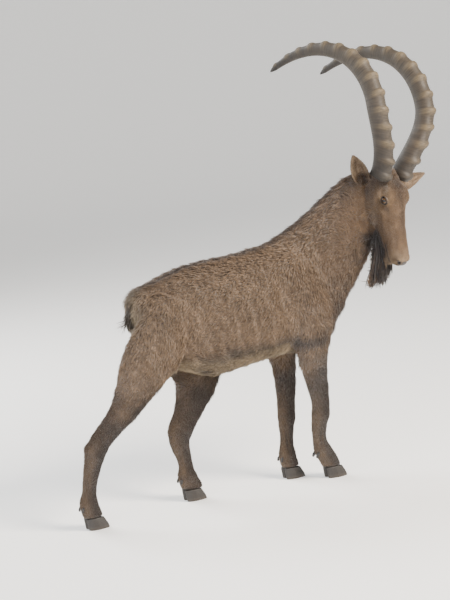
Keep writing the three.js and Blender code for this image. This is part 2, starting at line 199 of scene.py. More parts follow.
def movePoints(mesh, points):
    mesh.vertices.foreach_set("co", np.ascontiguousarray(points, np.float32).ravel())
    mesh.update()


# A CAD node's loose triangles, merged and swollen a little outwards
def mergedMesh(node, swell=0):
    shell = bmesh.new()
    shell.from_mesh(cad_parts[node].data)
    bmesh.ops.remove_doubles(shell, verts=shell.verts, dist=mergeDistance)
    shell.normal_update()
    for vertex, normal in [(v, v.normal.copy()) for v in shell.verts]:
        vertex.co += normal * swell
    merged = bpy.data.meshes.new(node + "_merged")
    shell.to_mesh(merged)
    shell.free()
    return merged


# One even shell round everything in a mesh
def meltedMesh(mesh, voxel):
    block = bpy.data.objects.new("block", mesh)
    bpy.context.scene.collection.objects.link(block)
    melt = block.modifiers.new("melt", "REMESH")
    melt.mode = "VOXEL"
    melt.voxel_size = voxel
    melted = evaluatedMesh(block)
    bpy.data.objects.remove(block)
    return melted


def smoothStep(low, high, value):
    t = np.clip((value - low) / (high - low), 0, 1)
    return t * t * (3 - 2 * t)


def unit(vectors):
    return vectors / np.maximum(np.linalg.norm(vectors, axis=-1, keepdims=True), 1e-9)


def waves(points, length, seed):
    draw = np.random.default_rng(seed)
    total = np.zeros(len(points))
    for _ in range(6):
        way = draw.normal(size=3)
        way *= fullTurn / length / np.linalg.norm(way) * draw.uniform(0.7, 1.4)
        total += np.sin(points @ way + draw.uniform(0, 6.28))
    return total / 2.5


# The floor is a wide pale dish, so that no horizon shows from any side
stageSet = {"flat": 10.0, "rim": 15.0, "height": 5.0, "rings": 40, "sides": 96}
floorRings = []
for i in range(stageSet["rings"] + 1):
    t = i / stageSet["rings"]
    radius = stageSet["rim"] * t
    climb = max(0, radius - stageSet["flat"]) / (stageSet["rim"] - stageSet["flat"])
    height = stageSet["height"] * climb * climb
    for j in range(stageSet["sides"]):
        turn = fullTurn * j / stageSet["sides"]
        floorRings.append((radius * math.cos(turn), radius * math.sin(turn), height))
floorFaces = []
for i in range(stageSet["rings"]):
    for j in range(stageSet["sides"]):
        a = i * stageSet["sides"] + j
        b = i * stageSet["sides"] + (j + 1) % stageSet["sides"]
        floorFaces += [a, a + stageSet["sides"], b + stageSet["sides"], b]
floorMesh = meshOf("studio_floor", np.array(floorRings), floorFaces, np.full(len(floorFaces) // 4, 4))
paper, tree = newMaterial("matt seamless paper")  # an even pale ground without gloss, faintly lit through
shader = addNode(
    tree, "ShaderNodeBsdfPrincipled",
    sockets={
        "Base Color": colour("#eeedea"), "Roughness": 0.9, "Emission Color": colour("#f4f3f1"),
        "Emission Strength": 0.36,
    },
)
addNode(tree, "ShaderNodeOutputMaterial", sockets={"Surface": shader})
floorMesh.materials.append(paper)
studioFloor = bpy.data.objects.new("studio_floor", floorMesh)
bpy.context.scene.collection.objects.link(studioFloor)

lightSet = {
    "key": {"at": (1900, -3700, 3900), "size": 2.0, "power": 760, "tint": "#fff4e6"},
    "fill": {"at": (-3800, -3000, 1900), "size": 3.5, "power": 150, "tint": "#eef3ff"},
    "back": {"at": (-1900, 3700, 3300), "size": 3.0, "power": 380, "tint": "#ffffff"},
}
for name, values in lightSet.items():
    lamp = bpy.data.lights.new(name, "AREA")
    lamp.size = values["size"]
    lamp.energy = values["power"]
    lamp.color = linear(values["tint"])
    light = bpy.data.objects.new(name, lamp)
    light.location = placed(*values["at"])
    light.rotation_mode = "QUATERNION"
    light.rotation_quaternion = (placed(-150, 0, 750) - light.location).to_track_quat("-Z", "Y")
    bpy.context.scene.collection.objects.link(light)
world = bpy.data.worlds.new("studio")
bpy.context.scene.world = world
world.use_nodes = True
world.node_tree.nodes["Background"].inputs["Color"].default_value = colour("#f1f3f6")
world.node_tree.nodes["Background"].inputs["Strength"].default_value = 0.55
print("camera, floor and light set")

# The coat: at each guide its lie, length and breadth; between guides these blend
legPaths = {
    "fore_left": [
        (-20, 92, 690), (-6, 98, 590), (-10, 91, 430), (-25, 78, 285), (-38, 66, 190), (-49, 56, 98),
        (-44, 52, 34),
    ],
    "fore_right": [
        (14, -92, 690), (28, -98, 590), (24, -91, 430), (41, -78, 305), (33, -66, 208), (43, -56, 116),
        (79, -52, 34),
    ],
    "hind_left": [
        (-464, 88, 685), (-412, 92, 590), (-376, 86, 436), (-436, 72, 316), (-482, 58, 222),
        (-471, 50, 138), (-470, 48, 98), (-460, 46, 34),
    ],
    "hind_right": [
        (-556, -88, 690), (-612, -92, 600), (-696, -86, 468), (-788, -72, 360), (-868, -58, 240),
        (-892, -50, 138), (-897, -48, 98), (-886, -46, 34),
    ],
}
bodyGuides = [  # x, y, z, then the lie, the length and the breadth of a tuft in millimetres
    ((-50, 0, 900), (-1, 0, -0.12), 30, 5.0),
    ((-250, 0, 885), (-1, 0, -0.05), 24, 4.6),
    ((-450, 0, 860), (-1, 0, -0.08), 24, 4.6),
    ((-600, 0, 820), (-0.9, 0, -0.45), 24, 4.6),
    ((-655, 0, 720), (-0.3, 0, -1), 22, 4.4),
    ((-100, 150, 680), (-1, 0.1, -0.5), 22, 4.6),
    ((-300, 152, 680), (-1, 0, -0.45), 22, 4.6),
    ((-480, 135, 680), (-0.9, 0, -0.55), 22, 4.6),
    ((-80, 70, 490), (-1, 0, -0.15), 24, 4.6),
    ((-300, 70, 470), (-1, 0, 0), 24, 4.6),
    ((-450, 60, 490), (-1, 0, 0.25), 18, 4.2),
    ((20, 145, 740), (-0.4, 0, -1), 22, 4.6),
    ((0, 145, 600), (-0.3, 0, -1), 18, 4.2),
    ((165, 0, 600), (-0.35, 0, -1), 30, 5.0),
    ((110, 60, 540), (-0.6, 0, -0.9), 26, 4.8),
    ((0, 0, 940), (-0.9, 0, -0.4), 32, 5.2),
    ((82, -18, 1000), (-0.85, 0.1, -0.55), 34, 5.4),
    ((160, -40, 1060), (-0.8, 0.2, -0.6), 34, 5.4),
    ((260, -95, 1125), (-0.65, 0.35, -0.65), 28, 5.0),
    ((80, 85, 860), (-0.6, 0.1, -0.8), 27, 5.0),
    ((200, 20, 960), (-0.55, 0.2, -0.8), 25, 4.6),
    ((290, -160, 960), (-0.35, 0.1, -0.9), 25, 4.6),
    ((290, -85, 820), (-0.3, 0.1, -0.95), 30, 5.0),
    ((235, -20, 670), (-0.25, 0, -1), 32, 5.2),
    ((-600, 5, 800), (-0.7, 0, -0.7), 24, 4.6),
    ((-648, 5, 743), (-0.25, 0, -1), 34, 5.0),
    ((-658, 5, 690), (-0.1, 0, -1), 36, 4.6),
]
headGuides = [
    ((292, 0, -15), (-1, 0, 0.4), 3.5, 1.6),
    ((275, 25, 0), (-1, 0.1, 0.1), 4, 1.7),
    ((240, 38, -30), (-1, 0.1, -0.1), 5, 1.9),
    ((262, 20, -62), (-1, 0, -0.25), 6, 1.9),
    ((185, 0, 25), (-1, 0, 0.1), 6, 2.0),
    ((190, 40, -25), (-1, 0.15, -0.15), 6, 2.0),
    ((120, 0, 38), (-1, 0, 0.15), 8, 2.3),
    ((120, 55, -30), (-1, 0.15, -0.2), 8, 2.3),
    ((60, 72, 8), (-1, 0.1, 0.05), 4.5, 1.5),
    ((40, 0, 50), (-1, 0, 0.1), 14, 2.8),
    ((0, 30, 44), (-1, 0.2, -0.1), 16, 3.0),
    ((62, 68, -62), (-0.9, 0.1, -0.5), 12, 2.8),
    ((150, 32, -88), (-1, 0, -0.4), 13, 2.8),
    ((60, 20, -125), (-0.9, 0, -0.6), 20, 3.6),
    ((-50, 0, 10), (-1, 0, -0.4), 24, 4.0),
    ((-40, 58, -40), (-0.9, 0.1, -0.5), 16, 3.2),
]
earLength = 142  # the left ear is turned forwards, the right one up and back
earAxis = {1: Vector((-0.23, 0.66, 0.72)).normalized(), -1: Vector((-0.51, -0.76, 0.4)).normalized()}
earOpening = {1: Vector((0.15, -0.45, 0.85)), -1: Vector((0.3, -0.7, 0.62))}
earRoot = {1: Vector((4, 84, -57)), -1: Vector((-38, -70, -66))}

guidePlaces, guideLies, guideSizes = [], [], []
for place, lie, length, breadth in bodyGuides:
    mirrored = [1] if abs(place[1]) < 30 or place[0] > 60 else [1, -1]
    for side in mirrored:
        guidePlaces.append(placed(place[0], place[1] * side, place[2]))
        guideLies.append(Vector((lie[0], lie[1] * side, lie[2])).normalized())
        guideSizes.append((length, breadth))
for place, lie, length, breadth in headGuides:
    for side in [1] if place[1] == 0 else [1, -1]:
        guidePlaces.append(headSpot(place[0], place[1] * side, place[2]))
        guideLies.append((headPose.to_3x3() @ Vector((lie[0], lie[1] * side, lie[2]))).normalized())
        guideSizes.append((length, breadth))
for side in (1, -1):
    for t in (0.3, 0.6, 0.95):
        guidePlaces.append(headSpot(*(earRoot[side] + earAxis[side] * earLength * t)))
        guideLies.append(headPose.to_3x3() @ earAxis[side])
        guideSizes.append((7 - 2 * t, 2.0))
for path in legPaths.values():
    for i, spot in enumerate(path):
        ahead = Vector(path[min(i + 1, len(path) - 1)]) - Vector(path[min(i, len(path) - 2)])
        height = spot[2]
        guidePlaces.append(placed(*spot))
        guideLies.append(ahead.normalized())
        guideSizes.append(
            (
                float(np.interp(height, (34, 130, 300, 450, 690), (6, 7, 10, 16, 22))),
                float(np.interp(height, (34, 300, 500), (2.3, 3.0, 4.4))),
            )
        )
guidePlaces = np.array(guidePlaces)
guideLies = np.array(guideLies)
guideSizes = np.array(guideSizes)


def coatAt(points):
    lies = np.zeros_like(points)
    sizes = np.zeros((len(points), 2))
    for start in range(0, len(points), 20000):
        part = points[start : start + 20000]
        distance = ((part[:, None, :] - guidePlaces[None]) ** 2).sum(2)
        weight = 1 / (distance + 0.0004) ** 2.5
        weight /= weight.sum(1, keepdims=True)
        lies[start : start + 20000] = weight @ guideLies
        sizes[start : start + 20000] = weight @ guideSizes
    return unit(lies), sizes


# The markings, shared by skin and coat
markSet = {
    "flank": "#66513c", "back": "#2d2119", "belly": "#98866a", "flankLine": "#261b14", "leg": "#291d15",
    "rump": "#b8a789", "neck": "#5a4633", "breast": "#35281e", "face": "#624c36", "forehead": "#3a2b1f",
    "muzzle": "#7a6852", "eyeRing": "#8b7351", "beard": "#1f1611", "tail": "#251b14",
    "earInside": "#84705a", "earBack": "#4d3c2c", "noseSkin": "#151110", "cheek": "#735c43",
    "legBack": "#614e3a", "shoulder": "#594532",
}
markSet = {name: np.array(linear(value)) for name, value in markSet.items()}


def blob(points, centre, halves):
    return np.exp(-(((points - np.array(centre)) / np.array(halves)) ** 2).sum(1))


def ridge(distance, breadth):
    return np.exp(-((distance / breadth) ** 2))


def markings(points, normals):
    body = bodyCoords(points)
    head = headCoords(points)
    x, y, z = body.T
    result = np.tile(markSet["flank"], (len(points), 1))

    def paint(name, mask):
        nonlocal result
        mask = np.clip(mask, 0, 1)[:, None]
        result = result * (1 - mask) + markSet[name] * mask

    def bothSides(centre, halves):
        mirrored = (centre[0], -centre[1], centre[2])
        return np.maximum(blob(head, centre, halves), blob(head, mirrored, halves))

    paint("neck", smoothStep(20, 160, x))
    result *= 1 + 0.09 * waves(points, 0.17, 21)[:, None]  # broad uneven patches
    shoulders = [blob(body, (10, side * 140, 690), (80, 60, 130)) for side in (1, -1)]
    paint("shoulder", 0.6 * np.maximum(*shoulders))
    breast = 0.85 * smoothStep(60, 150, x) * smoothStep(800, 640, z)
    paint("breast", breast * smoothStep(-0.1, 0.7, normals[:, 0] - normals[:, 2] * 0.4))
    spine = 0.85 * ridge(y + np.maximum(x, 0) * 0.25, 30) * smoothStep(0.3, 0.8, normals[:, 2])
    paint("back", spine * smoothStep(290, 200, x))
    onTrunk = smoothStep(-600, -540, x) * smoothStep(90, 40, x)
    lineHeight = 548 + 0.05 * x + 9 * waves(points, 0.09, 22)
    line = 0.9 * onTrunk * ridge(z - lineHeight, 32) * smoothStep(70, 110, np.abs(y))
    paint("flankLine", line * smoothStep(-500, -380, x))
    paint("belly", 0.75 * onTrunk * smoothStep(-0.3, -0.95, normals[:, 2]) * smoothStep(600, 530, z))
    legTop = 452 + 42 * waves(points, 0.13, 23) + 12 * waves(points, 0.035, 24) + 55 * normals[:, 0]
    paint("leg", 0.95 * smoothStep(115, -115, z - legTop))
    paint("legBack", 0.75 * smoothStep(420, 250, z) * smoothStep(0.25, -0.7, normals[:, 0]))
    paint("rump", 0.85 * blob(body, (-655, 0, 712), (60, 62, 80)))
    tail = 0.9 * smoothStep(-610, -634, x) * smoothStep(30, 18, np.abs(y)) * smoothStep(800, 780, z)
    paint("tail", tail * smoothStep(660, 680, z))

    fromFace = np.linalg.norm((head - np.array((120, 0, -30))) * np.array((0.55, 1, 1)), axis=1)
    onHead = smoothStep(135, 105, fromFace)
    paint("face", onHead)
    paint("forehead", onHead * 0.9 * blob(head, (15, 0, 45), (60, 42, 40)))
    paint("forehead", onHead * 0.7 * blob(head, (150, 0, 30), (90, 17, 18)))
    paint("cheek", onHead * 0.7 * bothSides((95, 60, -45), (45, 30, 30)))
    paint("muzzle", onHead * 0.62 * smoothStep(228, 282, head[:, 0] + 5 * waves(points, 0.03, 35)))
    paint("eyeRing", onHead * 0.42 * bothSides((52, 66, 10), (36, 26, 26)))
    paint("forehead", onHead * 0.6 * bothSides((63, 68, 8), (25, 18, 15)))
    paint("forehead", onHead * 0.8 * bothSides((96, 54, 4), (18, 10, 7)))
    chin = smoothStep(-54, -70, head[:, 2] + 2 * waves(points, 0.02, 34)) * smoothStep(135, 175, head[:, 0])
    paint("beard", onHead * 0.9 * chin * smoothStep(270, 252, head[:, 0]))
    onEar = earMask(head)
    paint("earBack", onEar)
    downy = 1 + 0.16 * waves(points, 0.010, 31)[:, None] * onEar[:, None]
    along = alongEar(head)
    inCup = onEar * smoothStep(-0.1, 0.35, insideEar(head, normals)) * smoothStep(12, 40, along)
    axis = np.where((head[:, 1] > 0)[:, None], np.array(earAxis[1]), np.array(earAxis[-1]))
    streaked = head - axis * along[:, None] * 0.9  # streaks run from the ear's root to its tip
    paint("earInside", inCup * (0.68 + 0.34 * waves(streaked / 1000, 0.009, 33)))
    result *= downy * (1 - 0.07 * onHead * waves(points, 0.028, 32))[:, None]
    paint("noseSkin", bareSkin(head))
    return result


# How far a point of an ear faces into its cup
def insideEar(head, normals):
    turned = normals @ np.array(headPose.to_3x3())
    cup = {}
    for side in (1, -1):
        axis, opening = earAxis[side], earOpening[side]
        cup[side] = np.array((opening - axis * opening.dot(axis)).normalized())
    return np.where(head[:, 1] > 0, turned @ cup[1], turned @ cup[-1])


# How far a point is from an ear's root towards its tip
def alongEar(head):
    along = {side: (head - np.array(earRoot[side])) @ np.array(earAxis[side]) for side in (1, -1)}
    return np.where(head[:, 1] > 0, along[1], along[-1])


# Nostrils: commas that run from the middle up and back round the nose
nostrilPath = [(293, 11, -27), (293, 15, -17), (289, 22, -9), (281, 29, -8)]


def nostrilDistance(head):
    folded = np.stack([head[:, 0], np.abs(head[:, 1]), head[:, 2]], 1)
    return np.minimum.reduce([segmentDistance(folded, a, b) for a, b in zip(nostrilPath, nostrilPath[1:])])


# The line where the lips meet, falling a little towards its corner
def lipDistance(head):
    return head[:, 2] + 50 - 0.052 * (head[:, 0] - 206)


# Bare skin: between and round the nostrils, along the lips
def bareSkin(head):
    nose = smoothStep(288, 293, head[:, 0]) * ridge(head[:, 1], 14) * smoothStep(-40, -30, head[:, 2])
    rims = 0.9 * smoothStep(8, 5.5, nostrilDistance(head)) * (head[:, 0] > 270)
    lips = smoothStep(200, 216, head[:, 0]) * ridge(lipDistance(head), 3.4) * (np.abs(head[:, 1]) < 60)
    return np.clip(np.maximum(np.maximum(nose, rims), 0.9 * lips), 0, 1)


# One skin: the flesh nodes are swollen a little over their gaps, melted together and smoothed
skinSet = {
    "voxel": 0.0022,
    "swell": 0.0004,
    "earSwell": 0.0009,
    "broadRounds": 80,
    "fineRounds": 7,
    "triangles": 186000,
    "depthOverLength": 0.28,  # how deep the skin lies under the tips of the coat
}
fleshNodes = [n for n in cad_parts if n.startswith(("torso", "neck", "head", "tail", "ear_", "leg_"))]
flesh = bmesh.new()
for name in fleshNodes:
    flesh.from_mesh(mergedMesh(name, skinSet["earSwell" if name.startswith("ear_") else "swell"]))
fleshMesh = bpy.data.meshes.new("flesh")
flesh.to_mesh(fleshMesh)
flesh.free()
skinMesh = meltedMesh(fleshMesh, skinSet["voxel"])
print("skin melted:", len(skinMesh.vertices), "points")


def segmentDistance(points, start, end):
    start, end = np.array(start, float), np.array(end, float)
    along = end - start
    t = np.clip((points - start) @ along / (along @ along), 0, 1)
    return np.linalg.norm(points - start - t[:, None] * along, axis=1)


def headMask(head):
    return smoothStep(120, 96, segmentDistance(head, (10, 0, -36), (285, 0, -25)))


def earMask(head):
    nearest = np.full(len(head), 1e3)
    for side in (1, -1):
        tip = earRoot[side] + earAxis[side] * (earLength + 8)
        nearest = np.minimum(nearest, segmentDistance(head, earRoot[side] + earAxis[side] * 18, tip))
    return smoothStep(46, 34, nearest)


def smoothed(points, edges, weight, rounds):
    count = len(points)
    degree = np.maximum(np.bincount(edges.ravel(), minlength=count), 1)[:, None]
    for _ in range(rounds):
        total = np.empty_like(points)
        for k in range(3):
            total[:, k] = np.bincount(edges[:, 0], points[edges[:, 1], k], count)
            total[:, k] += np.bincount(edges[:, 1], points[edges[:, 0], k], count)
        points = points + weight[:, None] * (total / degree - points)
    return points


points = pointsOf(skinMesh)
edges = edgesOf(skinMesh)
head = headCoords(points)
onHead = headMask(head)
onEar = earMask(head)
body = bodyCoords(points)
slim = smoothStep(420, 250, body[:, 2])  # thin shanks would shrink
broadWeight = 0.5 * (1 - onHead) * (1 - onEar) * (1 - 0.6 * slim)
points = smoothed(points, edges, broadWeight, skinSet["broadRounds"])
points = smoothed(points, edges, 0.5 * (1 - 0.8 * onEar), skinSet["fineRounds"])
# The left hind pastern spreads forward over its hooves
pasternSet = {"reach": 0.046, "drop": 0.003, "top": 118, "bottom": 45, "heel": -497, "front": -468}
body = bodyCoords(points)
leftHindFoot = (body[:, 1] > 0) & (body[:, 0] < -380) & (body[:, 2] < 135)
leaning = smoothStep(pasternSet["top"], pasternSet["bottom"], body[:, 2])
leaning = leaning * smoothStep(pasternSet["heel"], pasternSet["front"], body[:, 0]) * leftHindFoot
points[:, 0] += pasternSet["reach"] * leaning
points[:, 2] -= pasternSet["drop"] * leaning
movePoints(skinMesh, points)
print("skin smoothed")

# Muscle and bone under the coat: centre, half sizes and height in millimetres
bodyForms = [
    ((-10, 128, 770), (46, 60, 70), 8), ((30, 140, 690), (50, 50, 40), 8),
    ((-95, 140, 700), (34, 60, 90), -9), ((-400, 135, 650), (60, 60, 70), -12),
    ((-500, 80, 835), (42, 34, 26), 10), ((-618, 62, 775), (30, 30, 30), 6),
    ((-545, 140, 700), (60, 50, 70), 8), ((-330, 0, 468), (70, 24, 22), 12),
    ((20, 130, 560), (34, 50, 44), 6),
]
legForms = [
    ((-886, -58, 292), (16, 22, 22), 8), ((-506, 58, 262), (16, 22, 22), 7),
    ((-16, 73, 226), (18, 22, 22), 5), ((56, -73, 246), (18, 22, 22), 5),
    ((-25, 84, 400), (30, 20, 60), 3), ((20, -84, 400), (30, 20, 60), 3),
    ((-760, -76, 430), (34, 20, 44), 4), ((-420, 80, 380), (34, 20, 44), 4),
    ((-45, 52, 98), (34, 34, 14), 3.5), ((43, -52, 116), (34, 34, 14), 3.5),
    ((-470, 50, 100), (34, 34, 14), 3.5), ((-895, -48, 100), (34, 34, 14), 3.5),
]
shankGrooves = [(-50, 60, 150), (32, -60, 165), (-494, 52, 170), (-900, -52, 180)]
headForms = [
    ((38, 52, 32), (34, 16, 9), 5.0), ((46, 74, 14), (34, 10, 20), -3.0),
    ((92, 52, 2), (15, 12, 12), -3.0), ((88, 60, -19), (38, 12, 8), 3.5),
    ((112, 46, -40), (28, 14, 12), -3.0), ((58, 58, -72), (34, 18, 26), 3.5),
    ((165, 34, 2), (44, 12, 10), -3.5), ((140, 44, -14), (44, 14, 12), -3.0),
    ((150, 0, 32), (70, 14, 14), 2.0), ((281, 27, -3), (13, 9, 9), 3.2),
    ((293, 31, -8), (11, 10, 20), -4.5), ((291, 0, 6), (13, 26, 9), -3.5),
    ((268, 26, -38), (24, 12, 8), 2.0), ((258, 18, -60), (24, 12, 7), 2.0),
    ((-30, 66, -52), (18, 14, 18), 3.0), ((22, 0, 44), (28, 30, 14), 4.0),
    ((215, 30, -46), (9, 14, 9), -1.5), ((60, 70, -8), (26, 14, 5), 1.5),
    ((60, 72, -16), (24, 12, 3), -1.2), ((297, 0, -24), (8, 2.5, 16), -1.5),
]


def raised(coords, forms):
    total = np.zeros(len(coords))
    for centre, halves, height in forms:
        total += height * blob(coords, centre, halves)
        if centre[1] > 0:
            total += height * blob(coords, (centre[0], -centre[1], centre[2]), halves)
    return total


normals = normalsOf(skinMesh)
head = headCoords(points)
body = bodyCoords(points)
height = raised(body, bodyForms) * (1 - onHead)
for centre, halves, size in legForms:
    height += size * blob(body, centre, halves)
for spot in shankGrooves:  # between cannon bone and tendon, on both faces of each shank
    offset = body - np.array(spot)
    height -= 2.6 * ridge(offset[:, 0], 5) * ridge(offset[:, 2], 44) * (np.abs(offset[:, 1]) < 40)
ribs = np.sin(body[:, 0] * 2 * math.pi / 34 + body[:, 2] * 0.03)
height += 0.9 * ribs * blob(np.abs(body), (230, 150, 650), (130, 60, 90)) * (body[:, 0] < 0)
height += raised(head, headForms) * onHead
faceSet = {  # heights in millimetres; the swells lie above and below the mouth, the rim round each nostril
    "mouthDepth": 4.2, "upperSwell": 1.6, "lowerSwell": 1.8, "nostrilDepth": 6.5, "nostrilRim": 2.2,
}
fromLips = lipDistance(head)
lipsStart = smoothStep(225, 255, head[:, 0])
height -= faceSet["mouthDepth"] * ridge(fromLips, 2.2) * smoothStep(196, 212, head[:, 0]) * onHead
height += faceSet["upperSwell"] * ridge(fromLips - 6, 4) * lipsStart * onHead
height += faceSet["lowerSwell"] * ridge(fromLips + 7, 4.5) * lipsStart * onHead
fromNostril = nostrilDistance(head)
nostrils = faceSet["nostrilRim"] * ridge(fromNostril - 6, 2.6)
nostrils -= faceSet["nostrilDepth"] * ridge(fromNostril, 2.4)
height += nostrils * onHead * (head[:, 0] > 262)
_, sizes = coatAt(points)
eyeSpots = {side: np.array((60, 57 * side, 8)) for side in (1, -1)}  # the eyeballs' centres in the head
nearEye = np.minimum(*[np.linalg.norm(head - spot, axis=1) for spot in eyeSpots.values()])
inset = sizes[:, 0] * skinSet["depthOverLength"] * smoothStep(20, 34, nearEye) * (1 - 0.8 * onEar)
inset *= 1 - bareSkin(head) * onHead
points = points + normals * ((height - inset) / 1000)[:, None]
movePoints(skinMesh, points)
points = smoothed(points, edges, 0.4 * (1 - 0.7 * onHead) * (1 - onEar), 4)
movePoints(skinMesh, points)

skin = bpy.data.objects.new("skin", skinMesh)
bpy.context.scene.collection.objects.link(skin)
keep = np.clip(np.maximum(onHead, onEar), 0, 1)  # head and ears keep more of their faces
group = skin.vertex_groups.new(name="thin")
for level, share in enumerate((1, 0.8, 0.6, 0.4, 0.8)):
    chosen = np.nonzero((keep * 4.999).astype(int) == level)[0]
    group.add(chosen.tolist(), share, "REPLACE")
thin = skin.modifiers.new("thin", "DECIMATE")
thin.ratio = min(1, skinSet["triangles"] / (2 * len(skinMesh.polygons)))
thin.vertex_group = "thin"
thin.vertex_group_factor = 0.0004
thinMesh = evaluatedMesh(skin)
bpy.data.objects.remove(skin)
print("skin thinned:", len(thinMesh.polygons), "faces")

thinMesh.calc_loop_triangles()
corners = np.empty(len(thinMesh.loop_triangles) * 3, np.int32)
thinMesh.loop_triangles.foreach_get("vertices", corners)
skinPoints = pointsOf(thinMesh)
skinMesh = meshOf("skin", skinPoints, corners, np.full(len(corners) // 3, 3))
skinNormals = normalsOf(skinMesh)
triangles = corners.reshape(-1, 3)
print("skin:", len(triangles), "triangles")

regionNames = ["torso", "neck", "head", "ear_left", "ear_right", "tail", *legPaths]
numberOf = {name: number for number, name in enumerate(regionNames)}
tailPath = [(-584, 0, 790), (-604, 0, 782), (-630, 0, 763), (-647, 0, 738), (-658, 0, 686)]


def regionsOf(points):
    head, body = headCoords(points), bodyCoords(points)
    region = np.full(len(points), numberOf["torso"])
    lean = math.radians(33)
    inFront = (body[:, 0] - 50) * math.cos(lean) + (body[:, 2] - 720) * math.sin(lean) > 0
    region[inFront] = numberOf["neck"]
    region[headMask(head) > 0.5] = numberOf["head"]
    for side, name in ((1, "ear_left"), (-1, "ear_right")):
        tip = earRoot[side] + earAxis[side] * (earLength + 8)
        region[segmentDistance(head, earRoot[side] + earAxis[side] * 18, tip) < 40] = numberOf[name]
    for start, end in zip(tailPath, tailPath[1:]):
        region[(segmentDistance(body, start, end) < 31) & (body[:, 0] < -625)] = numberOf["tail"]
    nearest = np.full(len(points), 150.0)
    onLeg = body[:, 2] < 470 + 40 * waves(points, 0.09, 25)
    for name, path in legPaths.items():
        for start, end in zip(path, path[1:]):
            distance = segmentDistance(body, start, end)
            closer = (distance < nearest) & onLeg & (region != numberOf["neck"])
            region[closer] = numberOf[name]
            nearest[closer] = distance[closer]
    return region


# Unwrap: each region is laid out flat from its six sides, and the patches are packed on shelves
faceSpots = skinPoints[triangles]
faceCross = np.cross(faceSpots[:, 1] - faceSpots[:, 0], faceSpots[:, 2] - faceSpots[:, 0])
faceNormals = unit(faceCross)
faceRegion = regionsOf(faceSpots.mean(1))
mainAxis = np.abs(faceNormals).argmax(1)
facing = faceNormals[np.arange(len(triangles)), mainAxis] > 0
patch = faceRegion * 6 + mainAxis * 2 + facing
otherAxes = np.array([[1, 2], [0, 2], [0, 1]])[mainAxis]
flat = np.take_along_axis(faceSpots, np.repeat(otherAxes[:, None, :], 3, 1), 2)
patchBoxes = {n: (flat[patch == n].min((0, 1)), flat[patch == n].max((0, 1))) for n in np.unique(patch)}


def packShelves(scale, margin=0.004):
    places = {}
    x, y, shelf = margin, margin, 0
    for n in sorted(patchBoxes, key=lambda n: -(patchBoxes[n][1] - patchBoxes[n][0])[1]):
        size = (patchBoxes[n][1] - patchBoxes[n][0]) * scale
        if x + size[0] + margin > 1:
            x, y, shelf = margin, y + shelf + margin, 0
        places[n] = np.array((x, y)) - patchBoxes[n][0] * scale
        x += size[0] + margin
        shelf = max(shelf, size[1])
    return places, y + shelf + margin


atlasScale = 0.6
while packShelves(atlasScale)[1] > 1:
    atlasScale *= 0.97
patchPlaces, _ = packShelves(atlasScale)
offsets = np.zeros((max(patchPlaces) + 1, 2))
for n, place in patchPlaces.items():
    offsets[n] = place
skinUv = flat * atlasScale + offsets[patch][:, None, :]
skinMesh.uv_layers.new(name="OFBake").data.foreach_set("uv", skinUv.astype(np.float32).ravel())


def addColours(mesh, name, colours):
    layer = mesh.color_attributes.new(name, "FLOAT_COLOR", "POINT")
    full = np.concatenate([colours, np.ones((len(colours), 1))], 1)
    layer.data.foreach_set("color", full.astype(np.float32).ravel())


def addValues(mesh, name, values):
    layer = mesh.attributes.new(name, "FLOAT", "POINT")
    layer.data.foreach_set("value", values.astype(np.float32))


addColours(skinMesh, "coatColour", markings(skinPoints, skinNormals))
addValues(skinMesh, "bareSkin", bareSkin(headCoords(skinPoints)) * headMask(headCoords(skinPoints)))

# Short felted underfur over skin: matt, with a fine lie that the guard hair covers
underfur, tree = newMaterial("short underfur on skin")
spot = addNode(tree, "ShaderNodeTexCoord").outputs["Object"]
coatTint = addNode(tree, "ShaderNodeAttribute", {"attribute_name": "coatColour"})
bare = addNode(tree, "ShaderNodeAttribute", {"attribute_name": "bareSkin"})
# 25 mm clumps
patches = addNode(tree, "ShaderNodeTexNoise", sockets={"Vector": spot, "Scale": 40.0, "Detail": 4.0})
# 2 mm bundles
hairs = addNode(tree, "ShaderNodeTexNoise", sockets={"Vector": spot, "Scale": 450.0, "Detail": 2.0})
tone = addNode(tree, "ShaderNodeMapRange", sockets={0: patches, 1: 0.3, 2: 0.7, 3: 0.62, 4: 0.95})
furTint = addNode(
    tree, "ShaderNodeMix", {"data_type": "RGBA", "blend_type": "MULTIPLY"},
    {0: 1.0, 6: coatTint.outputs["Color"], 7: tone},
)
skinTint = addNode(
    tree, "ShaderNodeMix", {"data_type": "RGBA"},
    {0: bare.outputs["Fac"], 6: furTint.outputs[2], 7: colour("#241d1a")},
)
gloss = addNode(tree, "ShaderNodeMapRange", sockets={0: bare.outputs["Fac"], 3: 0.88, 4: 0.42})
bump = addNode(tree, "ShaderNodeBump", sockets={"Strength": 0.5, "Distance": 0.002, "Height": hairs})
shader = addNode(
    tree, "ShaderNodeBsdfPrincipled",
    sockets={"Base Color": skinTint.outputs[2], "Roughness": gloss, "Normal": bump},
)
addNode(tree, "ShaderNodeOutputMaterial", sockets={"Surface": shader})
addPiece("skin", skinMesh, underfur, "coat", *fleshNodes)

# Guard hair in tufts: brown hollow hair, soft sheen, paler at the tip, and darker towards the roots for the
# darker underfur there and as painted shade between the roots
guardHair, tree = newMaterial("guard hair")
coatTint = addNode(tree, "ShaderNodeAttribute", {"attribute_name": "coatColour"})
along = addNode(tree, "ShaderNodeAttribute", {"attribute_name": "alongTuft"})
tuftTone = addNode(tree, "ShaderNodeAttribute", {"attribute_name": "tuftTone"})
spot = addNode(tree, "ShaderNodeTexCoord").outputs["Object"]
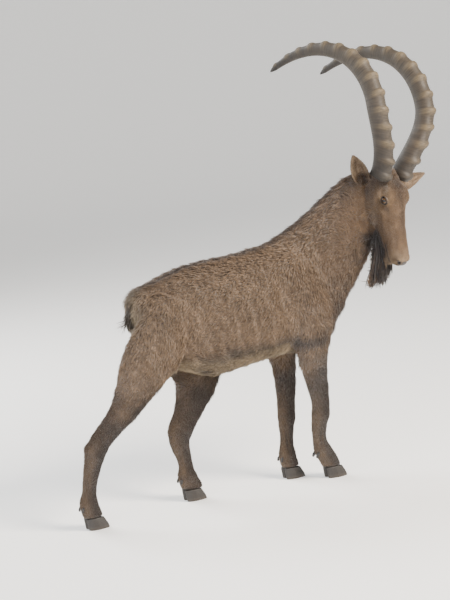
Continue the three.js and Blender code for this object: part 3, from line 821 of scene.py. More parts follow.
# the clumps of the underfur
patches = addNode(tree, "ShaderNodeTexNoise", sockets={"Vector": spot, "Scale": 40.0, "Detail": 4.0})
# painted shade between the roots, together with the darker underfur, rising to paler tips
rootShadeAndUnderfurTone = addNode(
    tree, "ShaderNodeMapRange", sockets={0: along.outputs["Fac"], 1: 0.0, 2: 0.8, 3: 0.55, 4: 1.16}
)
clumpShade = addNode(tree, "ShaderNodeMapRange", sockets={0: patches, 1: 0.3, 2: 0.7, 3: 0.84, 4: 1.14})
toned = addNode(tree, "ShaderNodeMath", {"operation": "MULTIPLY"}, {0: rootShadeAndUnderfurTone, 1: clumpShade})
toned = addNode(tree, "ShaderNodeMath", {"operation": "MULTIPLY"}, {0: toned, 1: tuftTone.outputs["Fac"]})
hairTint = addNode(
    tree, "ShaderNodeMix", {"data_type": "RGBA", "blend_type": "MULTIPLY", "clamp_result": True},
    {0: 1.0, 6: coatTint.outputs["Color"], 7: toned},
)
shader = addNode(
    tree, "ShaderNodeBsdfPrincipled",
    sockets={
        "Base Color": hairTint.outputs[2], "Roughness": 0.62, "Specular IOR Level": 0.35,
        "Sheen Weight": 0.15, "Sheen Roughness": 0.5,
    },
)
addNode(tree, "ShaderNodeOutputMaterial", sockets={"Surface": shader})


# Closed three-sided blades: centres, half breadths and heights at each station, then one tip
def blades(centres, tips, sideways, upwards, halves, heights):
    count, stations = centres.shape[:2]
    rings = np.empty((count, stations, 3, 3))
    rings[:, :, 0] = centres - sideways[:, None] * halves[:, :, None]
    rings[:, :, 1] = centres + sideways[:, None] * halves[:, :, None]
    rings[:, :, 2] = centres + upwards[:, None] * heights[:, :, None]
    points = np.concatenate([rings.reshape(count, -1, 3), tips[:, None]], 1)
    corners, sizes = [0, 2, 1], [3]
    for k in range(stations - 1):
        a, b, c = 3 * k, 3 * k + 1, 3 * k + 2
        corners += [a, b, b + 3, a + 3, a, a + 3, c + 3, c, b, c, c + 3, b + 3]
        sizes += [4, 4, 4]
    a, tip = 3 * (stations - 1), 3 * stations
    corners += [a, a + 1, tip, a, tip, a + 2, a + 1, a + 2, tip]
    sizes += [3, 3, 3]
    perBlade = 3 * stations + 1
    allCorners = (np.arange(count)[:, None] * perBlade + np.array(corners)[None]).ravel()
    along = np.repeat(np.arange(stations) / stations, 3).tolist() + [1.0]
    return points.reshape(-1, 3), allCorners, np.tile(sizes, count), np.array(corners), np.array(along)


bladePatch = {"halfWidth": 0.0013, "length": 0.0026}  # each blade's own patch on the skin's unwrap


def bladePiece(name, made, rootUv, tints, tones, material):
    points, corners, sizes, template, along = made
    count = len(rootUv)
    mesh = meshOf(name, points, corners, sizes)
    aside = np.tile([-1.0, 1.0, 0.0], len(along) // 3).tolist() + [0.0]
    spread = np.stack(
        [np.array(aside) * bladePatch["halfWidth"], (along - 0.5) * bladePatch["length"]], 1
    )[template]
    uv = rootUv[:, None, :] + spread[None]
    mesh.uv_layers.new(name="OFBake").data.foreach_set("uv", uv.astype(np.float32).ravel())
    addColours(mesh, "coatColour", np.repeat(tints, len(along), 0))
    addValues(mesh, "alongTuft", np.tile(along, count))
    addValues(mesh, "tuftTone", np.repeat(tones, len(along)))
    return addPiece(name, mesh, material, "coat")


tuftSet = {
    "cover": 4.6, "headCover": 4.2, "legCover": 4.4, "earCupCover": 2.6, "narrowing": 0.76,
    "lift": 0.55, "droop": 0.27, "sink": 0.0007, "seed": 11, "bareRoundEye": 19.5, "aboveHooves": 0.045,
    "bentInPiece": 19000, "straightInPiece": 48000,
}
draw = np.random.default_rng(tuftSet["seed"])
faceCentres = faceSpots.mean(1)
faceAreas = np.linalg.norm(faceCross, axis=1) / 2
_, faceSizes = coatAt(faceCentres)
covers = {"head": "headCover", "ear_left": "headCover", "ear_right": "headCover"}
covers |= {leg: "legCover" for leg in legPaths}
cover = np.array([tuftSet[covers.get(name, "cover")] for name in regionNames])[faceRegion]
faceHead = headCoords(faceCentres)
nearEye = np.minimum(*[np.linalg.norm(faceHead - spot, axis=1) for spot in eyeSpots.values()])
hairy = (nearEye > tuftSet["bareRoundEye"]) & (faceCentres[:, 2] > tuftSet["aboveHooves"])
hairy &= bareSkin(faceHead) <= 0.3
ears = [numberOf["ear_left"], numberOf["ear_right"]]
inCup = np.isin(faceRegion, ears) & (insideEar(faceHead, faceNormals) > 0)
cover = np.where(inCup, tuftSet["earCupCover"], cover)
expected = faceAreas * 1e6 * cover / (faceSizes[:, 0] * faceSizes[:, 1] * tuftSet["narrowing"]) * hairy
total = int(expected.sum())
cumulative = np.cumsum(expected) / expected.sum()
evenSteps = (np.arange(total) + draw.uniform(0, 1, total)) / total
face = np.searchsorted(cumulative, evenSteps).clip(0, len(triangles) - 1)
u, v = draw.uniform(0, 1, (2, total))
u, v = np.where(u + v > 1, 1 - u, u), np.where(u + v > 1, 1 - v, v)
mixing = np.stack([1 - u - v, u, v], 1)
roots = (faceSpots[face] * mixing[:, :, None]).sum(1)
rootNormals = unit((skinNormals[triangles[face]] * mixing[:, :, None]).sum(1))
rootUv = (skinUv[face] * mixing[:, :, None]).sum(1)
lies, sizes = coatAt(roots)
swirl = np.radians(draw.normal(0, 8, total) + 6 * waves(roots, 0.06, 3))
flatLie = unit(lies - rootNormals * (lies * rootNormals).sum(1, keepdims=True))
across = np.cross(rootNormals, flatLie)
way = flatLie * np.cos(swirl)[:, None] + across * np.sin(swirl)[:, None]
across = np.cross(rootNormals, way)
length = sizes[:, 0] / 1000 * draw.uniform(0.75, 1.25, total)
breadth = sizes[:, 1] / 1000 * tuftSet["narrowing"] * draw.uniform(0.75, 1.25, total)
lift = tuftSet["lift"] * (1 + 0.24 * waves(roots, 0.04, 5)).clip(0.5, 1.6) * draw.uniform(0.8, 1.2, total)


def alongTuft(t):
    rise = (lift * t - tuftSet["droop"] * t * t) * length - tuftSet["sink"] * (1 - t)
    return roots + way * (length * t)[:, None] + rootNormals * rise[:, None]


centres = np.stack([alongTuft(0.0), alongTuft(0.5)], 1)
halves = np.stack([breadth * 0.4, breadth * 0.5], 1)
heights = np.stack([breadth * 0.28, breadth * 0.26], 1)
tips = alongTuft(1.0)
tints = markings(roots, rootNormals)
tones = draw.uniform(0.72, 1.24, total)
tuftRegion = faceRegion[face]
bentNames = ("torso", "neck", "tail")  # short hair is straight spikes, long hair bends once
for number, name in enumerate(regionNames):
    chosen = np.nonzero(tuftRegion == number)[0]
    if not len(chosen):
        continue
    chosen = chosen[np.argsort(roots[chosen, 0], kind="stable")]
    bent = name in bentNames
    stations = 2 if bent else 1
    pieces = math.ceil(len(chosen) / tuftSet["bentInPiece" if bent else "straightInPiece"])
    for k, share in enumerate(np.array_split(chosen, pieces), 1):
        made = blades(
            centres[share, :stations], tips[share], across[share], rootNormals[share],
            halves[share, :stations], heights[share, :stations],
        )
        bladePiece(f"coat_{name}_{k}", made, rootUv[share], tints[share], tones[share], guardHair)
bentCount = int(np.isin(tuftRegion, [numberOf[name] for name in bentNames]).sum())
print("coat:", total, "tufts,", bentCount, "of them bent")

# Horns: a long arc up, back and down, its front raised in knobs, made by one tree for both sides
hornSet = {
    "Length": 0.876, "Depth": 0.075, "Breadth": 0.060, "Lean": math.radians(137),
    "Turn": math.radians(153), "Straight Ends": 0.056, "Root Spread": 0.065, "Top Spread": 0.156,
    "Parted By": 0.32, "Knobs": 15.0, "Knob Height": 0.0120, "Rings": 300, "Sides": 37, "Side": 1.0,
    "Seed": 4.0,
}
hornTree = bpy.data.node_groups.new("horn_by_rule", "GeometryNodeTree")
hornTree.interface.new_socket("Geometry", in_out="INPUT", socket_type="NodeSocketGeometry")
hornTree.interface.new_socket("Geometry", in_out="OUTPUT", socket_type="NodeSocketGeometry")
for name, value in hornSet.items():
    kind = "NodeSocketInt" if isinstance(value, int) else "NodeSocketFloat"
    hornTree.interface.new_socket(name, in_out="INPUT", socket_type=kind)
given = addNode(hornTree, "NodeGroupInput").outputs

# Steps of the tree: a name, then a sum and its values, or a kind of node with settings and sockets.
# A value is a number, an input's or a step's name, or a step's name with the number of its output.
hornSteps = [
    (
        "grid", ("GeometryNodeMeshGrid", {}),
        {"Size X": 1.0, "Size Y": 1.0, "Vertices X": "Rings", "Vertices Y": "Sides"},
    ),
    ("position", ("GeometryNodeInputPosition", {}), {}),
    ("gridSpot", ("ShaderNodeSeparateXYZ", {}), {0: "position"}),
    ("growth", "ADD", ("gridSpot", 0), 0.5),  # 0 at the root, 1 at the tip
    ("sideShare", "ADD", ("gridSpot", 1), 0.5),
    ("around", "MULTIPLY", "sideShare", fullTurn),
    ("columnShare", "MULTIPLY", "sideShare", 1000.0),
    ("column", "ROUND", "columnShare"),
    # the line: its heading turns from the lean onwards, less at the root and the tip
    ("growthTurn", "MULTIPLY", "growth", fullTurn),
    ("sway", "SINE", "growthTurn"),
    ("straighter", "MULTIPLY", "sway", "Straight Ends"),
    ("bent", "SUBTRACT", "growth", "straighter"),
    ("heading", "MULTIPLY_ADD", "bent", "Turn", "Lean"),
    ("forwardX", "COSINE", "heading"),
    ("forwardZ", "SINE", "heading"),
    ("stride", "DIVIDE", "Length", "Rings"),
    ("strideX", "MULTIPLY", "forwardX", "stride"),
    ("strideZ", "MULTIPLY", "forwardZ", "stride"),
    ("onward", ("ShaderNodeCombineXYZ", {}), {0: "strideX", 2: "strideZ"}),
    ("walked", ("GeometryNodeAccumulateField", {"data_type": "FLOAT_VECTOR"}), {0: "onward", 1: "column"}),
    ("line", ("ShaderNodeSeparateXYZ", {}), {0: ("walked", "Trailing")}),
    ("parting", ("ShaderNodeMapRange", {"interpolation_type": "SMOOTHSTEP"}),
        {0: "growth", 2: "Parted By", 3: "Root Spread", 4: "Top Spread"}),
    # the girth: a taper, closed at both ends, squarer than an oval
    ("taper", ("ShaderNodeFloatCurve", {}), {"Value": "growth"}),
    ("rootEnd", ("ShaderNodeMapRange", {}), {0: "growth", 2: 0.003}),
    ("tipShare", ("ShaderNodeMapRange", {}), {0: "growth", 1: 0.97, 2: 1.0, 3: 1.0, 4: 0.0}),
    ("tipEnd", "SQRT", "tipShare"),
    ("ends", "MULTIPLY", "rootEnd", "tipEnd"),
    ("size", "MULTIPLY", "taper", "ends"),
    ("frontness", "COSINE", "around"),
    ("sideness", "SINE", "around"),
    ("frontReach", "ABSOLUTE", "frontness"),
    ("frontPower", "POWER", "frontReach", 0.83),
    ("frontSign", "SIGN", "frontness"),
    ("squareFront", "MULTIPLY", "frontSign", "frontPower"),
    ("sideReach", "ABSOLUTE", "sideness"),
    ("sidePower", "POWER", "sideReach", 0.83),
    ("sideSign", "SIGN", "sideness"),
    ("squareSide", "MULTIPLY", "sideSign", "sidePower"),
    # knobs: steep towards the tip, long towards the root, fading to the sides and as the horn thins
    ("knobCount", "MULTIPLY", "growth", "Knobs"),
    ("unevenSpot", "MULTIPLY_ADD", "growth", "Knobs", "Seed"),
    ("uneven", ("ShaderNodeTexNoise", {"noise_dimensions": "1D"}), {"W": "unevenSpot", "Scale": 0.8}),
    ("late", "MULTIPLY", "uneven", 0.25),
    ("knobPlace", "ADD", "knobCount", "late"),
    ("phase", "FRACT", "knobPlace"),
    ("knobShape", ("ShaderNodeFloatCurve", {}), {"Value": "phase"}),
    ("knobFade", ("ShaderNodeMapRange", {}), {0: "growth", 3: 1.0, 4: 0.3}),
    (
        "knobFront", ("ShaderNodeMapRange", {"interpolation_type": "SMOOTHSTEP"}),
        {0: "frontness", 1: -0.35, 2: 0.75},
    ),
    ("crest", "MULTIPLY", "knobShape", "knobFront"),
    ("fadedCrest", "MULTIPLY", "crest", "knobFade"),
    ("knobReach", "MULTIPLY", "Knob Height", "ends"),
    ("knob", "MULTIPLY", "fadedCrest", "knobReach"),
    ("rippleTurn", "MULTIPLY", "growth", fullTurn * 105),
    ("rippleWave", "SINE", "rippleTurn"),
    ("rippleHeight", "MULTIPLY", "rippleWave", 0.00035),
    ("ripple", "MULTIPLY", "rippleHeight", "size"),
    # the surface: the section turned across the line
    ("halfDepth", "MULTIPLY", "Depth", 0.5),
    ("depthSize", "MULTIPLY", "halfDepth", "size"),
    ("depthExtra", "ADD", "ripple", "knob"),
    ("depthReach", "ADD", "depthSize", "depthExtra"),
    ("halfBreadth", "MULTIPLY", "Breadth", 0.5),
    ("breadthSize", "MULTIPLY", "halfBreadth", "size"),
    ("knobSide", "MULTIPLY", "knob", 0.3),
    ("breadthExtra", "ADD", "ripple", "knobSide"),
    ("breadthReach", "ADD", "breadthSize", "breadthExtra"),
    ("toFront", "MULTIPLY", "squareFront", "depthReach"),
    ("toSide", "MULTIPLY", "squareSide", "breadthReach"),
    ("frontX", "MULTIPLY_ADD", "toFront", "forwardZ", -0.024),
    ("hornX", "ADD", ("line", 0), "frontX"),
    ("sideOffset", "MULTIPLY", "parting", "Side"),
    ("hornY", "ADD", "sideOffset", "toSide"),
    ("backwardX", "MULTIPLY", "forwardX", -1.0),
    ("frontZ", "MULTIPLY_ADD", "toFront", "backwardX", 0.004),
    ("hornZ", "ADD", ("line", 2), "frontZ"),
    ("hornSpot", ("ShaderNodeCombineXYZ", {}), {0: "hornX", 1: "hornY", 2: "hornZ"}),
]
known = {name: given[name] for name in hornSet}


def found(value):
    return known[value[0]].outputs[value[1]] if isinstance(value, tuple) else known.get(value, value)


for name, step, *values in hornSteps:
    isSum = isinstance(step, str)
    kind, settings = ("ShaderNodeMath", {"operation": step}) if isSum else step
    sockets = dict(enumerate(values)) if isSum else values[0]
    known[name] = addNode(hornTree, kind, settings, {key: found(value) for key, value in sockets.items()})
taperAt = {
    t: 1.02 - 0.22 * t - 1.24 * max(0, t - 0.45) ** 1.3 for t in (0, 0.1, 0.3, 0.45, 0.6, 0.75, 0.9, 1)
}
setCurve(known["taper"].mapping, [(t, min(1, max(0.06, share))) for t, share in taperAt.items()])
setCurve(
    known["knobShape"].mapping,
    [(0, 0), (0.18, 0.12), (0.38, 0.85), (0.5, 1.0), (0.62, 0.7), (0.74, 0.12), (1, 0)],
)
marked = known["grid"]
for name, value in (("growth", "growth"), ("knobCrest", "crest"), ("around", "sideness")):
    sockets = {"Geometry": marked, "Name": name, "Value": found(value)}
    marked = addNode(hornTree, "GeometryNodeStoreNamedAttribute", {"data_type": "FLOAT"}, sockets)
shaped = addNode(
    hornTree, "GeometryNodeSetPosition", sockets={"Geometry": marked, "Position": known["hornSpot"]}
)
closed = addNode(hornTree, "GeometryNodeMergeByDistance", sockets={"Geometry": shaped, "Distance": 0.00002})
soft = addNode(hornTree, "GeometryNodeSetShadeSmooth", sockets={"Geometry": closed})
single = addNode(hornTree, "GeometryNodeRealizeInstances", sockets={"Geometry": soft})

# Horn sheath: grown keratin, grey-brown and dull, ringed with yearly lines, worn pale on the knobs
hornSheath, tree = newMaterial("grown keratin horn sheath")
grown = addNode(tree, "ShaderNodeAttribute", {"attribute_name": "growth"})
crestMark = addNode(tree, "ShaderNodeAttribute", {"attribute_name": "knobCrest"})
aroundMark = addNode(tree, "ShaderNodeAttribute", {"attribute_name": "around"})
spot = addNode(tree, "ShaderNodeTexCoord").outputs["Object"]
ringSpot = addNode(
    tree, "ShaderNodeCombineXYZ", sockets={0: grown.outputs["Fac"], 1: aroundMark.outputs["Fac"]}
)
# 4 mm growth lines
ringScale = addNode(
    tree, "ShaderNodeVectorMath", {"operation": "MULTIPLY"}, {0: ringSpot, 1: (220.0, 1.6, 1.0)}
)
lines = addNode(
    tree, "ShaderNodeTexNoise",
    sockets={"Vector": ringScale, "Scale": 1.0, "Detail": 5.0, "Roughness": 0.65},
)
# 33 mm cloudiness
grain = addNode(tree, "ShaderNodeTexNoise", sockets={"Vector": spot, "Scale": 30.0, "Detail": 5.0})
base = addNode(tree, "ShaderNodeValToRGB", sockets={0: grown.outputs["Fac"]})
hornStops = [(0.0, "#231d16"), (0.14, "#3a3025"), (0.55, "#443a2c"), (0.85, "#342c22"), (1.0, "#1c1813")]
setStops(base.color_ramp, hornStops)
wornPart = addNode(
    tree, "ShaderNodeMapRange", sockets={0: grown.outputs["Fac"], 1: 0.03, 2: 0.2, 3: 0.15, 4: 0.9}
)
patchy = addNode(tree, "ShaderNodeMath", {"operation": "MULTIPLY"}, {0: wornPart, 1: grain})
wear = addNode(tree, "ShaderNodeMath", {"operation": "MULTIPLY"}, {0: crestMark.outputs["Fac"], 1: patchy})
worn = addNode(tree, "ShaderNodeMix", {"data_type": "RGBA"}, {0: wear, 6: base, 7: colour("#68593f")})
lineTone = addNode(tree, "ShaderNodeMapRange", sockets={0: lines, 1: 0.32, 2: 0.68, 3: 0.45, 4: 1.3})
grooveTone = addNode(
    tree, "ShaderNodeMapRange", sockets={0: crestMark.outputs["Fac"], 2: 0.6, 3: 0.74, 4: 1.12}
)
grooved = addNode(tree, "ShaderNodeMath", {"operation": "MULTIPLY"}, {0: lineTone, 1: grooveTone})
sheathTint = addNode(
    tree, "ShaderNodeMix", {"data_type": "RGBA", "blend_type": "MULTIPLY"},
    {0: 1.0, 6: worn.outputs[2], 7: grooved},
)
sheathBump = addNode(tree, "ShaderNodeBump", sockets={"Strength": 0.6, "Distance": 0.0012, "Height": lines})
dull = addNode(tree, "ShaderNodeMapRange", sockets={0: grain, 1: 0.3, 2: 0.7, 3: 0.58, 4: 0.76})
shader = addNode(
    tree, "ShaderNodeBsdfPrincipled",
    sockets={"Base Color": sheathTint.outputs[2], "Roughness": dull, "IOR": 1.55, "Normal": sheathBump},
)
addNode(tree, "ShaderNodeOutputMaterial", sockets={"Surface": shader})

painted = addNode(hornTree, "GeometryNodeSetMaterial", sockets={"Geometry": single, "Material": hornSheath})
addNode(hornTree, "NodeGroupOutput", sockets={"Geometry": painted})


def facedOutwards(mesh):
    shell = bmesh.new()
    shell.from_mesh(mesh)
    bmesh.ops.recalc_face_normals(shell, faces=shell.faces)
    shell.to_mesh(mesh)
    shell.free()
    mesh.update()


for side, label in ((1, "left"), (-1, "right")):
    carrier = bpy.data.objects.new("horn_" + label + "_maker", bpy.data.meshes.new("horn_start"))
    bpy.context.scene.collection.objects.link(carrier)
    grower = carrier.modifiers.new("grow", "NODES")
    grower.node_group = hornTree
    for item in hornTree.interface.items_tree:
        if item.in_out == "INPUT" and item.name in hornSet:
            value = hornSet[item.name]
            grower[item.identifier] = side * value if item.name == "Side" else value
    hornMesh = evaluatedMesh(carrier)
    bpy.data.objects.remove(carrier)
    hornMesh.name = "horn_" + label + "_sheath"
    hornMesh.transform(headPose)
    facedOutwards(hornMesh)
    addPiece("horn_" + label + "_sheath", hornMesh, hornSheath, "horn_sheath", "horn_" + label)
print("horns grown:", len(hornMesh.polygons), "faces each")

# Eyes: a dark ball with a clear bulge over an amber iris and a level slot of a pupil
eyeSet = {
    "radius": 17.0, "bulge": 1.5, "bulgeReach": 40, "facing": (0.22, 1, 0.2), "rings": 48, "sides": 64
}
eyeball, tree = newMaterial("wet amber eyeball")  # glassy and wet, so it catches a sharp light
eyeUv = addNode(tree, "ShaderNodeUVMap", {"uv_map": "eyeUv"})
centred = addNode(tree, "ShaderNodeVectorMath", {"operation": "SUBTRACT"}, {0: eyeUv, 1: (0.5, 0.5, 0.0)})
reach = addNode(tree, "ShaderNodeVectorMath", {"operation": "LENGTH"}, {0: centred})
slotSpot = addNode(
    tree, "ShaderNodeVectorMath", {"operation": "MULTIPLY"}, {0: centred, 1: (7.0, 15.0, 0.0)}
)
slotSquare = addNode(tree, "ShaderNodeVectorMath", {"operation": "MULTIPLY"}, {0: slotSpot, 1: slotSpot})
slotFourth = addNode(
    tree, "ShaderNodeVectorMath", {"operation": "DOT_PRODUCT"}, {0: slotSquare, 1: slotSquare}
)
pupil = addNode(
    tree, "ShaderNodeMapRange", sockets={0: slotFourth.outputs["Value"], 1: 0.75, 2: 1.25, 3: 1.0, 4: 0.0}
)
streaks = addNode(tree, "ShaderNodeTexNoise", sockets={"Vector": eyeUv, "Scale": 60.0, "Detail": 4.0})
irisTint = addNode(tree, "ShaderNodeValToRGB", sockets={0: reach.outputs["Value"]})
irisStops = [(0.0, "#2a1b0a"), (0.11, "#452f14"), (0.18, "#382511"), (0.22, "#1a120a"), (0.25, "#0a0706")]
setStops(irisTint.color_ramp, irisStops)
streaked = addNode(
    tree, "ShaderNodeMix", {"data_type": "RGBA", "blend_type": "OVERLAY"}, {0: 0.5, 6: irisTint, 7: streaks}
)
eyeTint = addNode(
    tree, "ShaderNodeMix", {"data_type": "RGBA"}, {0: pupil, 6: streaked.outputs[2], 7: colour("#060608")}
)
shader = addNode(
    tree, "ShaderNodeBsdfPrincipled",
    sockets={
        "Base Color": eyeTint.outputs[2], "Roughness": 0.16, "IOR": 1.38, "Coat Weight": 0.2,
        "Coat Roughness": 0.04,
    },
)
addNode(tree, "ShaderNodeOutputMaterial", sockets={"Surface": shader})

# Lids: dark hairless rims, turning into the face's colour outwards
lidSkin, tree = newMaterial("hairless lid skin")
lidColour = addNode(tree, "ShaderNodeAttribute", {"attribute_name": "lidColour"})
spot = addNode(tree, "ShaderNodeTexCoord").outputs["Object"]
# 1.5 mm wrinkles
creases = addNode(tree, "ShaderNodeTexNoise", sockets={"Vector": spot, "Scale": 700.0, "Detail": 3.0})
creaseTone = addNode(tree, "ShaderNodeMapRange", sockets={0: creases, 1: 0.3, 2: 0.7, 3: 0.7, 4: 1.25})
lidTint = addNode(
    tree, "ShaderNodeMix", {"data_type": "RGBA", "blend_type": "MULTIPLY"},
    {0: 1.0, 6: lidColour.outputs["Color"], 7: creaseTone},
)
lidBump = addNode(tree, "ShaderNodeBump", sockets={"Strength": 0.6, "Distance": 0.0008, "Height": creases})
shader = addNode(
    tree, "ShaderNodeBsdfPrincipled",
    sockets={"Base Color": lidTint.outputs[2], "Roughness": 0.58, "Normal": lidBump},
)
addNode(tree, "ShaderNodeOutputMaterial", sockets={"Surface": shader})

lidDark = np.array(linear("#17110d"))
lidSet = {
    "halfLength": 55, "above": 33, "below": 32, "outer": 80, "sides": 72,
    "hairyShare": (1.0, 0, 0, 0, 0, 0, 0.35, 0.8, 1.0, 1.0),
}
for side, label in ((1, "left"), (-1, "right")):
    toNose, toSide, toBrow = eyeSet["facing"]
    toOut = (headPose.to_3x3() @ Vector((toNose, side * toSide, toBrow))).normalized()
    level = toOut.cross(Vector((0, 0, 1))).normalized()  # the pupil stays level with the ground
    upright = level.cross(toOut)
    centre = headSpot(*eyeSpots[side])
    rings, sides = eyeSet["rings"], eyeSet["sides"]
    eyePoints, eyeUvs = [centre + toOut * (eyeSet["radius"] + eyeSet["bulge"]) / 1000], [(0.5, 0.5)]
    for i in range(1, rings):
        slant = math.pi * i / rings
        bulge = eyeSet["bulge"] * max(0, 1 - (math.degrees(slant) / eyeSet["bulgeReach"]) ** 2) ** 1.5
        for j in range(sides):
            turn = fullTurn * j / sides
            aside = level * math.cos(turn) + upright * math.sin(turn)
            ray = toOut * math.cos(slant) + aside * math.sin(slant)
            eyePoints.append(centre + ray * (eyeSet["radius"] + bulge) / 1000)
            eyeUvs.append((0.5 + slant / math.pi * math.cos(turn), 0.5 + slant / math.pi * math.sin(turn)))
    eyePoints.append(centre - toOut * eyeSet["radius"] / 1000)
    eyeUvs.append((1.0, 0.5))
    eyeCorners, eyeSizes = [], []
    for j in range(sides):
        after = (j + 1) % sides
        eyeCorners += [0, 1 + j, 1 + after]
        eyeSizes.append(3)
        for i in range(rings - 2):
            a = 1 + i * sides
            eyeCorners += [a + j, a + sides + j, a + sides + after, a + after]
            eyeSizes.append(4)
        a = 1 + (rings - 2) * sides
        eyeCorners += [a + j, len(eyePoints) - 1, a + after]
        eyeSizes.append(3)
    eyeMesh = meshOf("eyeball_" + label, np.array(eyePoints), eyeCorners, eyeSizes)
    uvs = np.array(eyeUvs)[np.array(eyeCorners)]
    eyeMesh.uv_layers.new(name="eyeUv").data.foreach_set("uv", uvs.astype(np.float32).ravel())
    facedOutwards(eyeMesh)
    addPiece("eyeball_" + label, eyeMesh, eyeball, "eye", "eye_" + label)

    # the opening is an almond along the face, with a fold above it
    lengthwise = headPose.to_3x3() @ Vector((1, 0, 0.05))
    lengthwise = (lengthwise - toOut * lengthwise.dot(toOut)).normalized()
    heightwise = toOut.cross(lengthwise) * side
    lidPoints = []
    for j in range(lidSet["sides"]):
        turn = fullTurn * j / lidSet["sides"]
        c, s = math.cos(turn), math.sin(turn)
        height = lidSet["above"] if s < 0 else lidSet["below"]
        edge = 1 / ((abs(c) / lidSet["halfLength"]) ** 1.7 + (abs(s) / height) ** 1.7) ** (1 / 1.7)
        aside = lengthwise * c + heightwise * s
        fold = 1.0 if s < 0 else 0.5
        section = [
            (lidSet["outer"], 0.25), (edge + 14, 0.25), (edge + 1.5, 0.3), (edge - 1.5, 1.0),
            (edge - 0.5, 2.0), (edge + 4, 2.5), (edge + 9, 2.6 + 0.8 * fold),
            (edge + 15, 2.3 - 0.6 * fold), (edge + 21, 3.2 + 0.5 * fold),
            (max(edge + 26, lidSet["outer"]), 2.2),
        ]
        for slant, above in section:
            ray = toOut * math.cos(math.radians(slant)) + aside * math.sin(math.radians(slant))
            bulge = eyeSet["bulge"] * max(0, 1 - (slant / eyeSet["bulgeReach"]) ** 2) ** 1.5
            lidPoints.append(centre + ray * (eyeSet["radius"] + bulge + above) / 1000)
    stations = len(section)
    lidCorners = []
    for j in range(lidSet["sides"]):
        for k in range(stations):
            a, b = j * stations, (j + 1) % lidSet["sides"] * stations
            lidCorners += [a + k, b + k, b + (k + 1) % stations, a + (k + 1) % stations]
    lidMesh = meshOf("lids_" + label, np.array(lidPoints), lidCorners, np.full(len(lidCorners) // 4, 4))
    facedOutwards(lidMesh)
    outwards = np.tile(lidSet["hairyShare"], lidSet["sides"])[:, None]
    addColours(lidMesh, "lidColour", lidDark * (1 - outwards) + markSet["face"] * outwards * 0.85)
    lids = addPiece("lids_" + label, lidMesh, lidSkin, "coat")
    smoother = lids.modifiers.new("soften", "SUBSURF")
    smoother.levels = smoother.render_levels = 1
print("eyes and lids set")

# Hooves and dew claws: the solids' own shapes, rounded and worn
hoofHorn, tree = newMaterial("worn keratin hoof")  # dull, streaked down the wall, dusty at the edge
spot = addNode(tree, "ShaderNodeTexCoord").outputs["Object"]
# 2 mm streaks
streakSpot = addNode(
    tree, "ShaderNodeVectorMath", {"operation": "MULTIPLY"}, {0: spot, 1: (420.0, 420.0, 45.0)}
)
streaks = addNode(tree, "ShaderNodeTexNoise", sockets={"Vector": streakSpot, "Scale": 1.0, "Detail": 3.0})
ground = addNode(tree, "ShaderNodeSeparateXYZ", sockets={0: spot})
dusty = addNode(
    tree, "ShaderNodeMapRange", sockets={0: ground.outputs[2], 1: 0.0, 2: 0.016, 3: 0.55, 4: 0.0}
)
wall = addNode(
    tree, "ShaderNodeMix", {"data_type": "RGBA"}, {0: streaks, 6: colour("#120f0d"), 7: colour("#2b241e")}
)
hoofTint = addNode(
    tree, "ShaderNodeMix", {"data_type": "RGBA"}, {0: dusty, 6: wall.outputs[2], 7: colour("#463c32")}
)
hoofBump = addNode(tree, "ShaderNodeBump", sockets={"Strength": 0.4, "Distance": 0.001, "Height": streaks})
shader = addNode(
    tree, "ShaderNodeBsdfPrincipled",
    sockets={"Base Color": hoofTint.outputs[2], "Roughness": 0.52, "IOR": 1.55, "Normal": hoofBump},
)
addNode(tree, "ShaderNodeOutputMaterial", sockets={"Surface": shader})
hoofSet = {
    "toeVoxel": 0.0017, "clawVoxel": 0.0011, "rounds": 6,
    "ringHeight": 0.00045, "ringPitch": 0.0065, "ringsFrom": 0.006, "ringsFull": 0.014,
}
for name in [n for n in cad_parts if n.startswith(("toe_", "dewclaw_"))]:
    isToe = name.startswith("toe_")
    hoofMesh = meltedMesh(mergedMesh(name), hoofSet["toeVoxel" if isToe else "clawVoxel"])
    points = pointsOf(hoofMesh)
    points = smoothed(points, edgesOf(hoofMesh), np.full(len(points), 0.5), hoofSet["rounds"])
    if isToe:
        low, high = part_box(name)
        rings = hoofSet["ringHeight"] * np.sin(points[:, 2] * 2 * math.pi / hoofSet["ringPitch"])
        rings *= smoothStep(low.z + hoofSet["ringsFrom"], low.z + hoofSet["ringsFull"], points[:, 2])
        outwards = unit(points[:, :2] - np.array(((low + high) / 2)[:2]))
        points[:, :2] += outwards * rings[:, None]
    movePoints(hoofMesh, points)
    hoofMesh.polygons.foreach_set("use_smooth", np.ones(len(hoofMesh.polygons), bool))
    addPiece(name + "_horn", hoofMesh, hoofHorn, "hoof_horn", name)
print("hooves rounded")


# Long locks: the beard, the tail's brush, the mane along the nape, the fringe of the breast
def bentLocks(name, roots, ways, bends, flats, lengths, breadths, tints, seed, stations=6, thick=0.4):
    draw = np.random.default_rng(seed)
    ways, flats = unit(ways), unit(flats)
    sideways = unit(np.cross(flats, ways))
    flats = np.cross(ways, sideways)
    wander = draw.normal(0, 0.05, (len(roots), 2))

    def at(t):
        curl = np.sin(t * 5 + wander[:, :1] * 60) * wander[:, 1:]
        return roots + (ways * t + bends * t * t + sideways * curl * t) * lengths[:, None]

    ts = np.arange(stations) / stations
    centres = np.stack([at(t) for t in ts], 1)
    swell = np.sin(math.pi * (0.3 + 0.66 * ts))
    halves = breadths[:, None] / 2 * swell[None]
    made = blades(centres, at(1.0), sideways, flats, halves, halves * thick * 2)
    _, nearestFace = zip(*[rootTree.find(Vector(root))[:2] for root in roots])
    rootUvs = skinUv[np.array(nearestFace)].mean(1)
    return bladePiece(name, made, rootUvs, tints, draw.uniform(0.8, 1.2, len(roots)), guardHair)


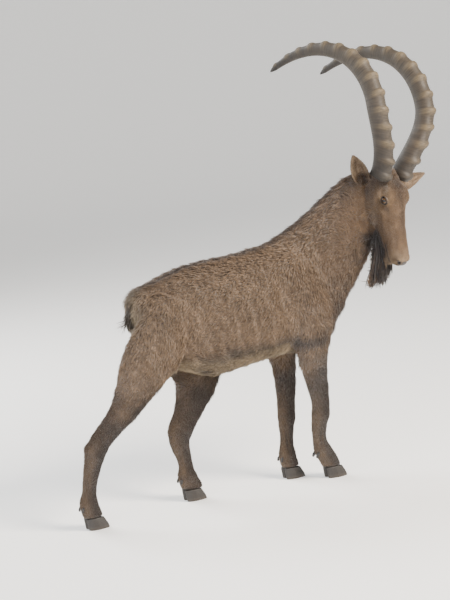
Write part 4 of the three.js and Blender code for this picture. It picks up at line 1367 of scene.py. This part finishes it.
rootTree = KDTree(len(faceCentres))
for number, centre in enumerate(faceCentres):
    rootTree.insert(Vector(centre), number)
rootTree.balance()
headTurn = np.array(headPose.to_3x3())
beardSet = {"locks": 460, "shortest": 74, "longest": 202, "breadth": 8.5, "seed": 41}
draw = np.random.default_rng(beardSet["seed"])
count = beardSet["locks"]
behind = draw.uniform(0.1, 1, count) ** 0.8
aside = draw.uniform(-1, 1, count) * (9 + 13 * behind)
rootsHead = np.stack([240 - 72 * behind, aside, -60 - 34 * behind + np.abs(aside) * 0.5], 1)
waysHead = np.stack([np.full(count, 0.96), aside * 0.005, -0.16 - 0.13 * behind], 1)
waysHead += draw.normal(0, 0.05, (count, 3))
inwards = draw.normal(0, 0.05, count) - aside * 0.002
bendsHead = np.stack([np.zeros(count), inwards, np.full(count, -0.04)], 1)
flatsHead = np.stack([np.zeros(count), np.sign(aside + 0.01), draw.normal(0, 0.6, count)], 1)
lengths = beardSet["shortest"] + (beardSet["longest"] - beardSet["shortest"]) * behind
lengths = lengths * draw.uniform(0.75, 1.06, count) / 1000
breadths = beardSet["breadth"] * draw.uniform(0.6, 1.25, count) / 1000
roots = rootsHead / 1000 @ headTurn.T + np.array(headPose.translation)
tints = np.tile(markSet["beard"], (count, 1)) * draw.uniform(0.8, 1.5, (count, 1))
bentLocks(
    "beard", roots, waysHead @ headTurn.T, bendsHead @ headTurn.T, flatsHead @ headTurn.T, lengths,
    breadths, tints, 5, stations=9,
)

fringeSet = {"mane": (2400, 46, 5.0), "tail": (700, 52, 4.0), "breast": (1200, 36, 4.6)}
along = bodyCoords(faceCentres)[:, 0]
onBody = np.isin(faceRegion, [numberOf["torso"], numberOf["neck"]])
crest = smoothStep(0.35, 0.75, faceNormals[:, 2]) * onBody * smoothStep(-190, -60, along)
facingFront = smoothStep(0.3, 0.8, faceNormals[:, 0] - 0.3 * faceNormals[:, 2])
throat = facingFront * onBody * smoothStep(60, 140, along)
brush = (faceRegion == numberOf["tail"]).astype(float)
for number, (name, mask) in enumerate((("mane", crest), ("tail", brush), ("breast", throat))):
    count, length, breadth = fringeSet[name]
    chance = faceAreas * mask
    draw = np.random.default_rng(70 + number)
    face = draw.choice(len(triangles), count, p=chance / chance.sum())
    roots = faceCentres[face]
    lies, _ = coatAt(roots)
    ups = faceNormals[face]
    flatLies = unit(lies - ups * (lies * ups).sum(1, keepdims=True))
    ways = unit(flatLies + ups * 0.3 + draw.normal(0, 0.1, (count, 3)))
    bends = -ups * 0.12
    lengths = length * draw.uniform(0.6, 1.1, count) / 1000
    breadths = breadth * draw.uniform(0.6, 1.2, count) / 1000
    tints = markings(roots, ups) * draw.uniform(0.8, 1.15, (count, 1))
    bentLocks(
        "locks_" + name, roots, ways, bends, ups, lengths, breadths, tints, 80 + number, stations=4,
        thick=0.3,
    )
print("beard and long locks hung")
